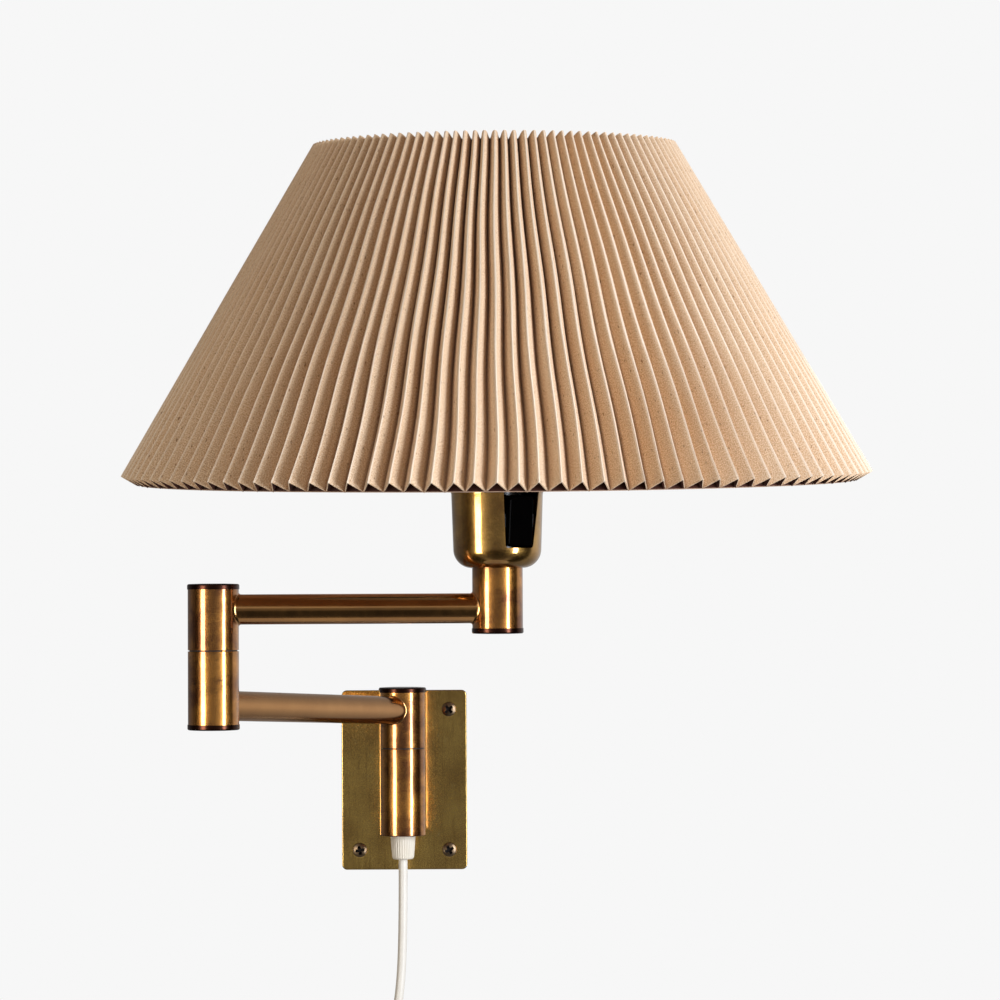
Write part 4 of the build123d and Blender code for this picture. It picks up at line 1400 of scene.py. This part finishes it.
# %% Opal glass
ball, neck, ball_height = 30.0, 12.6, 75.0
span = math.hypot(neck, ball_height - 25)
touch_angle = math.degrees(math.atan2(25 - ball_height, neck) + math.acos(ball / span))
glass_outline = [(0, 25), (neck - 0.5, 25), (neck, 25.6)] + arc(0, ball_height, ball, touch_angle, 90, 28)
glass_outline[-1] = (0, ball_height + ball)
shape = turn_outline([(radius, bulb_foot + height) for radius, height in glass_outline], head_axis)
make_piece("opal_bulb", shape, "upper_arm", plain["opal_glass"], ("bulb_glass",))
print("the glass leaves its ball at", round(touch_angle, 1), "degrees")

# %% [markdown]
# ## The pleated shade
# The cloth is a light unbleached linen with darker slubs, glued on paper and folded by hand
# into 114 pleats. A smooth liner inside holds it, with a wire ring at its foot and its top.
# The pleats are one long grid rolled into a cone. Twelve lines of the grid run up each pleat:
# a soft ridge, two walls and a soft valley. Hand folds are never quite even, so each pleat is
# shifted, deepened and bent a little, with a fixed seed.

# %% Unbleached linen: its threads
linen, tree, shader = new_material("pleated_unbleached_linen")
cloth = add_node(tree, "ShaderNodeUVMap", uv_map="cloth")
# At a scale of 1 a Wave node's bands are 0.314 m apart. The real threads are 0.45 mm apart, too
# fine to show, so they are drawn 1.1 mm apart
wave_spacing, thread_spacing = 0.314, 0.0011
threads_here = {
    "Vector": cloth.outputs["UV"],
    "Scale": wave_spacing / thread_spacing,
    "Distortion": 1.6,
    "Detail": 2,
    "Detail Scale": 1.5,
}
warp = add_node(tree, "ShaderNodeTexWave", threads_here, wave_type="BANDS", bands_direction="X")
weft = add_node(tree, "ShaderNodeTexWave", threads_here, wave_type="BANDS", bands_direction="Y")
weave = add_node(
    tree, "ShaderNodeMath", {0: warp.outputs["Fac"], 1: weft.outputs["Fac"]}, operation="MULTIPLY"
)
# Speckle: single threads that are lighter or darker, 0.7 mm apart
speckle = add_node(
    tree, "ShaderNodeTexNoise", {"Vector": cloth.outputs["UV"], "Scale": 1 / 0.0007, "Detail": 3}
)
speckle_share = add_node(
    tree, "ShaderNodeMapRange", {"Value": speckle.outputs["Fac"], "From Min": 0.4, "From Max": 0.6}
)
tone = add_node(
    tree,
    "ShaderNodeMix",
    {"Factor": speckle_share.outputs["Result"], MIX_A: linear("#EED8BC"), MIX_B: linear("#D0B08C")},
    data_type="RGBA",
)

# %% Flecks in the linen, and its yellowing
# Slubs: brown flecks of stalk, about 3 mm long on the upright threads and 1.3 mm wide
stretched = add_node(
    tree, "ShaderNodeMapping", {"Vector": cloth.outputs["UV"], "Scale": (1 / 0.0013, 1 / 0.0032, 1)}
)
flecks = add_node(
    tree, "ShaderNodeTexNoise", {"Vector": stretched.outputs["Vector"], "Scale": 1, "Detail": 2}
)
fleck_share = add_node(
    tree,
    "ShaderNodeMapRange",
    {"Value": flecks.outputs["Fac"], "From Min": 0.645, "From Max": 0.73, "To Max": 0.75},
)
flecked = add_node(
    tree,
    "ShaderNodeMix",
    {"Factor": fleck_share.outputs["Result"], MIX_A: tone.outputs[MIX_RESULT], MIX_B: linear("#7E5638")},
    data_type="RGBA",
)
# Age has yellowed it in wide clouds
clouds = add_node(
    tree, "ShaderNodeTexNoise", {"Vector": cloth.outputs["UV"], "Scale": 1 / 0.05, "Detail": 3}
)
aged = add_node(
    tree,
    "ShaderNodeMix",
    {"Factor": clouds.outputs["Fac"], MIX_A: linear("#FFFFFF"), MIX_B: linear("#F6EADD")},
    data_type="RGBA",
)
dyed = add_node(
    tree,
    "ShaderNodeMix",
    {"Factor": 1, MIX_A: flecked.outputs[MIX_RESULT], MIX_B: aged.outputs[MIX_RESULT]},
    data_type="RGBA",
    blend_type="MULTIPLY",
)

# %% The linen's painted crest highlights and painted shade in its hollows
# The outer folds are painted pale, 2 mm wide: a painted highlight along each crest. A pleat takes up 21.8
# mm of the cloth's width
pleat_width = 0.02179
across_cloth = add_node(tree, "ShaderNodeSeparateXYZ", {"Vector": cloth.outputs["UV"]})
from_fold = add_node(
    tree, "ShaderNodeMath", {0: across_cloth.outputs["X"], 1: pleat_width / 2}, operation="PINGPONG"
)
crest_highlight_share = add_node(
    tree,
    "ShaderNodeMapRange",
    {"Value": from_fold.outputs[0], "From Min": 0.0004, "From Max": 0.0018, "To Min": 0.7, "To Max": 0},
)
crest_highlighted = add_node(
    tree,
    "ShaderNodeMix",
    {"Factor": crest_highlight_share.outputs["Result"], MIX_A: dyed.outputs[MIX_RESULT], MIX_B: linear("#F7E9D7")},
    data_type="RGBA",
)
# Painted shade in the inner folds, darkest near the top where they are tightest
valley_shade_by_height = add_node(
    tree,
    "ShaderNodeMapRange",
    {"Value": across_cloth.outputs["Y"], "From Max": 0.2, "To Min": 0.4, "To Max": 0.95},
)
valley_shade_share = add_node(
    tree,
    "ShaderNodeMapRange",
    {
        "Value": from_fold.outputs[0],
        "From Min": 0.0084,
        "From Max": 0.0104,
        "To Max": valley_shade_by_height.outputs["Result"],
    },
)
valley_shaded = add_node(
    tree,
    "ShaderNodeMix",
    {"Factor": valley_shade_share.outputs["Result"], MIX_A: crest_highlighted.outputs[MIX_RESULT], MIX_B: linear("#6A3012")},
    data_type="RGBA",
)
tree.links.new(valley_shaded.outputs[MIX_RESULT], shader.inputs["Base Color"])

# %% The linen's surface: matt and hairy, with its threads raised
threads = add_node(
    tree, "ShaderNodeBump", {"Height": weave.outputs[0], "Strength": 0.5, "Distance": 0.0001}
)
fuzz = add_node(
    tree,
    "ShaderNodeBump",
    {
        "Height": speckle.outputs["Fac"],
        "Strength": 0.6,
        "Distance": 0.0002,
        "Normal": threads.outputs["Normal"],
    },
)
tree.links.new(fuzz.outputs["Normal"], shader.inputs["Normal"])
rough = add_node(
    tree, "ShaderNodeMapRange", {"Value": speckle.outputs["Fac"], "To Min": 0.78, "To Max": 0.95}
)
tree.links.new(rough.outputs["Result"], shader.inputs["Roughness"])
shader.inputs["Specular IOR Level"].default_value = 0.2
shader.inputs["Sheen Weight"].default_value = 0.12
shader.inputs["Sheen Roughness"].default_value = 0.5

# %% The shade's own frame: it leans towards the room, half a degree more than its carrier
foot_height, foot_back = 174.3, 1.4
lean_aside = Matrix.Rotation(math.radians(-0.15), 4, "Y")
lean_forward = Matrix.Rotation(math.radians(3.5), 4, "X")
shade_place = Matrix.Translation((head_axis[0], head_axis[1] + foot_back, foot_height))
shade_place = shade_place @ lean_aside @ lean_forward
shade_foot, shade_top, shade_height = 200.0, 96.5, 174.9
slope = math.atan2(shade_foot - shade_top, shade_height)
slant = math.hypot(shade_foot - shade_top, shade_height)
print("the shade's side leans in by", round(math.degrees(slope), 1), "degrees")


def shade_point(share, inward):
    """Radius and height at a share of the slant, some way inside the line of the ridges."""
    radius = shade_foot + (shade_top - shade_foot) * share
    return radius - inward * math.cos(slope), shade_height * share - inward * math.sin(slope)


# %% How the folds vary
pleat_count = 114
fold_depth_foot, fold_depth_top = 9.4, 8.0
rings_up = 28
hand = random.Random(7)
drift = [0.0]
for _ in range(pleat_count - 1):
    drift.append(drift[-1] + hand.uniform(-1, 1))
drift = [value - drift[-1] * i / pleat_count for i, value in enumerate(drift)]
nudges = [hand.uniform(-0.05, 0.05) for _ in range(pleat_count)]
depths = [hand.uniform(0.94, 1.04) for _ in range(pleat_count)]
bends = [hand.uniform(-0.035, 0.035) for _ in range(pleat_count)]
# Along one pleat: how far across it, how deep at the sharp foot, how deep at the rounder top
fold_lines = [(0, 0.02, 0), (0.07, 0.12, 0.015), (0.14, 0.27, 0.06), (0.22, 0.44, 0.17), (0.3, 0.6, 0.38)]
fold_lines += [(0.39, 0.79, 0.76), (0.5, 0.98, 1)]
fold_lines += [(1 - along, foot, top) for along, foot, top in reversed(fold_lines[1:-1])]
print("folds:", pleat_count, "and lines in each:", len(fold_lines))


def ridge_shift(fold, share):
    """How far a ridge strays sideways, as a share of the space between ridges."""
    fold %= pleat_count
    wave = 0.045 * math.sin(2 * math.pi * 2.3 * share + 0.7 * drift[fold])
    return nudges[fold] + wave + bends[fold] * math.sin(2 * math.pi * (1.2 * share + 0.1 * fold))


def cloth_point(i, j):
    """Where one crossing of the cloth's grid goes: i counts round the shade, j up it."""
    fold, line = divmod(i, len(fold_lines))
    along, sharp, rounded = fold_lines[line]
    share = j / rings_up
    shift = (1 - along) * ridge_shift(fold, share) + along * ridge_shift(fold + 1, share)
    turn = 2 * math.pi * (fold + along + shift) / pleat_count
    # The folds stand a little closer together at the front and the back than at the sides
    turn -= 0.03 * math.sin(2 * turn)
    roundness = min(1, share / 0.55)
    depth_share = sharp + (rounded - sharp) * roundness
    full_depth = fold_depth_foot + (fold_depth_top - fold_depth_foot) * share
    depth = full_depth * depth_share * depths[fold]
    radius, height = shade_point(share, depth)
    return shade_place @ Vector((radius * math.sin(turn), -radius * math.cos(turn), height))


# %% Flat size of the cloth, and where each point lies on it
wall_at_foot = math.hypot(math.pi * shade_foot / pleat_count, fold_depth_foot)
wall_at_top = math.hypot(math.pi * shade_top / pleat_count, fold_depth_top)
cloth_width = 2 * pleat_count * wall_at_foot * MM
cloth_area = 2 * pleat_count * (wall_at_foot + wall_at_top) / 2 * slant * MM * MM
flat_measures = [round(v, 4) for v in (cloth_width, slant * MM, cloth_area)]
print("cloth before folding, its width, length and area:", flat_measures)


def on_cloth(i, j):
    """Where a crossing of the grid lies on the flat cloth."""
    fold, line = divmod(i, len(fold_lines))
    along = fold_lines[line][0]
    return ((fold + along) / pleat_count * cloth_width, j / rings_up * slant * MM)


# %% Painted shade for the hollows: dark brown on the inner side of the folds and on the liner's outer side
hollow_shade_backing, tree, shader = new_material("painted_hollow_shade")
spot = add_node(tree, "ShaderNodeTexCoord")
fibres = add_node(
    tree, "ShaderNodeTexNoise", {"Vector": spot.outputs["Object"], "Scale": 1 / 0.002, "Detail": 4}
)
tone = add_node(
    tree,
    "ShaderNodeMix",
    {"Factor": fibres.outputs["Fac"], MIX_A: linear("#5E3222"), MIX_B: linear("#4A2519")},
    data_type="RGBA",
)
tree.links.new(tone.outputs[MIX_RESULT], shader.inputs["Base Color"])
pressed = add_node(
    tree, "ShaderNodeBump", {"Height": fibres.outputs["Fac"], "Strength": 0.5, "Distance": 0.00005}
)
tree.links.new(pressed.outputs["Normal"], shader.inputs["Normal"])
shader.inputs["Roughness"].default_value = 0.9

# %% Fold the cloth
pleats = wrap_grid(len(fold_lines) * pleat_count, rings_up, cloth_point, on_cloth)
bmesh.ops.recalc_face_normals(pleats, faces=pleats.faces)
outer_side = set(pleats.verts)
cloth_thickness = 0.55
bmesh.ops.solidify(pleats, geom=pleats.faces[:], thickness=cloth_thickness)
# The inner side of the folds takes the dark brown: painted shade in the hollows
for face in pleats.faces:
    face.material_index = 0 if outer_side.intersection(face.verts) else 1
pleated_cloth = make_piece(
    "pleated_linen_shade",
    pleats,
    "upper_arm",
    linen,
    ("shade_pleats",),
    crease=60,
    even=False,
)
pleated_cloth.data.materials.append(hollow_shade_backing)
print("pleated cloth faces:", len(pleated_cloth.data.polygons))

# %% Finish of the liner
liner_cloth, tree, shader = new_material("laminated_shade_liner")
spot = add_node(tree, "ShaderNodeTexCoord")
fibres = add_node(
    tree, "ShaderNodeTexNoise", {"Vector": spot.outputs["Object"], "Scale": 1 / 0.0015, "Detail": 5}
)
tone = add_node(
    tree,
    "ShaderNodeMix",
    {"Factor": fibres.outputs["Fac"], MIX_A: linear("#D2B096"), MIX_B: linear("#BE9A80")},
    data_type="RGBA",
)
tree.links.new(tone.outputs[MIX_RESULT], shader.inputs["Base Color"])
pressed = add_node(
    tree, "ShaderNodeBump", {"Height": fibres.outputs["Fac"], "Strength": 0.5, "Distance": 0.00006}
)
tree.links.new(pressed.outputs["Normal"], shader.inputs["Normal"])
shader.inputs["Roughness"].default_value = 0.85

# %% Liner's shape
behind_folds, liner_wall = 1.3, 0.9
back_foot, back_top = fold_depth_foot + behind_folds, fold_depth_top + behind_folds
# Its foot is trimmed 0.9 mm shorter than the folds
liner_hem = 0.9 / slant
liner_outline = [shade_point(liner_hem, back_foot), shade_point(1, back_top)]
liner_outline += [shade_point(1, back_top + liner_wall), shade_point(liner_hem, back_foot + liner_wall)]
shape = turn_outline(liner_outline, steps=228)
# The liner's outer side takes the dark brown: painted shade behind the folds
for face in shape.faces:
    middle = face.calc_center_median()
    if face.normal.dot(Vector((middle.x, middle.y, 0)).normalized()) > 0.6:
        face.material_index = 1
bmesh.ops.transform(shape, matrix=shade_place, verts=shape.verts)
liner = make_piece("smooth_shade_liner", shape, "upper_arm", liner_cloth, ("shade_liner",))
liner.data.materials.append(hollow_shade_backing)

# %% Wire rings
wire, wire_gap = 1.5, 0.1
from_rim = 4 / slant
for node, share in (("shade_foot_ring", from_rim), ("shade_top_ring", 1 - from_rim)):
    depth_here = fold_depth_foot + (fold_depth_top - fold_depth_foot) * share
    radius, height = shade_point(share, depth_here + behind_folds + liner_wall + wire_gap + wire)
    shape = turn_outline(arc(radius, height, wire, 0, 330, 11), steps=160)
    bmesh.ops.transform(shape, matrix=shade_place, verts=shape.verts)
    make_piece(f"{node}_wire", shape, "upper_arm", plain["white_wire_enamel"], (node,))

# %% [markdown]
# ## Plug
# The cord ends in a flat white plug with two round pins. Its tapered neck has rings that let
# it bend. The body is a cube, tapered towards the neck, with all its edges well rounded.

# %% Neck and body
plug_middle, plug_back, tail_foot = coil_end[0], coil_end[1], coil_end[2] - tail_length
plug_wide, plug_thick, plug_tall = 33, 13.7, 30
shoulder_wide, shoulder_thick = 15, 10
neck_outline = [(0, 0), (3.4, 0), (3.55, -0.6)]
for ring in range(6):
    top, size_here = -1.5 - 2.9 * ring, 3.55 + 0.17 * ring
    neck_outline += [
        (size_here, top),
        (size_here, top - 1.7),
        (size_here - 0.5, top - 1.9),
        (size_here - 0.5, top - 2.7),
    ]
neck_outline += [(4.6, -19.2), (4.6, -21), (0, -21)]
neck = turn_outline(neck_outline, steps=48)
body = bmesh.new()
bmesh.ops.create_cube(body, size=1)
bmesh.ops.scale(body, verts=body.verts, vec=(plug_wide, plug_thick, plug_tall))
shoulders = [vert for vert in body.verts if vert.co.z > 0]
bmesh.ops.scale(body, verts=shoulders, vec=(shoulder_wide / plug_wide, shoulder_thick / plug_thick, 1))
upright = [edge for edge in body.edges if abs(edge.verts[0].co.z - edge.verts[1].co.z) > 1]
bmesh.ops.bevel(body, geom=upright, offset=3.5, segments=5, profile=0.5, affect="EDGES", material=-1)
rims = [edge for edge in body.edges if edge.calc_face_angle(0) > math.radians(50)]
bmesh.ops.bevel(body, geom=rims, offset=1.6, segments=4, profile=0.5, affect="EDGES", material=-1)
bmesh.ops.translate(body, verts=body.verts, vec=(0, 0, -35))
shape = join_shapes(neck, body)
bmesh.ops.translate(shape, verts=shape.verts, vec=(plug_middle, plug_back, tail_foot))
plug_shell = make_piece(
    "white_plug", shape, "wall_mount", plain["white_plug_pvc"], ("plug_body",)
)

# %% Pins, their roots sleeved
pins = []
for side in (-1, 1):
    outline = [
        (0, 0), (2.0, 0), (2.0, -9.5), (1.9, -10), (1.9, -17.6), (1.5, -18.5), (0.8, -19), (0, -19)
    ]
    pins.append(turn_outline(outline, (plug_middle + side * 9.3, plug_back), steps=32))
shape = join_shapes(*pins)
bmesh.ops.translate(shape, verts=shape.verts, vec=(0, 0, tail_foot - 50))
plug_pins = make_piece(
    "plug_pin_pair", shape, "wall_mount", works_metals["nickel_cap_metal"], ("plug_pins",)
)

Vector(cord_points[0]) * MM

# %% [markdown]
# ## Finishes for the works inside
# The pivots, washers, nuts, stem and socket are right as plain solids and hardly show. They
# keep their shapes, and only their material slots are filled.

# %% Dress the solids that stay
works = {
    works_metals["turned_brass"]: (
        "wall_collar wall_pivot_tube wall_bush wall_pivot_nut elbow_collar elbow_pivot_tube elbow_bush"
        " elbow_pivot_nut head_collar head_nipple nipple_nut centre_contact"
    ),
    works_metals["zinc_plated_steel"]: "wall_friction_washer elbow_friction_washer stem_screw switch_pin",
    works_metals["nickel_cap_metal"]: "socket_shell",
    plain["seam_shade_washer_nylon"]: "wall_thrust_washer elbow_thrust_washer",
    plain["phenolic_resin"]: "holder_base",
    plain["white_wire_enamel"]: "shade_carrier",
    plain["white_plug_pvc"]: "cord_tie",
    hub_brass: "hub_stem",
}
for material, names in works.items():
    for name in names.split():
        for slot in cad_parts[name].material_slots:
            slot.material = material
        print(name, "is finished in", material.name)
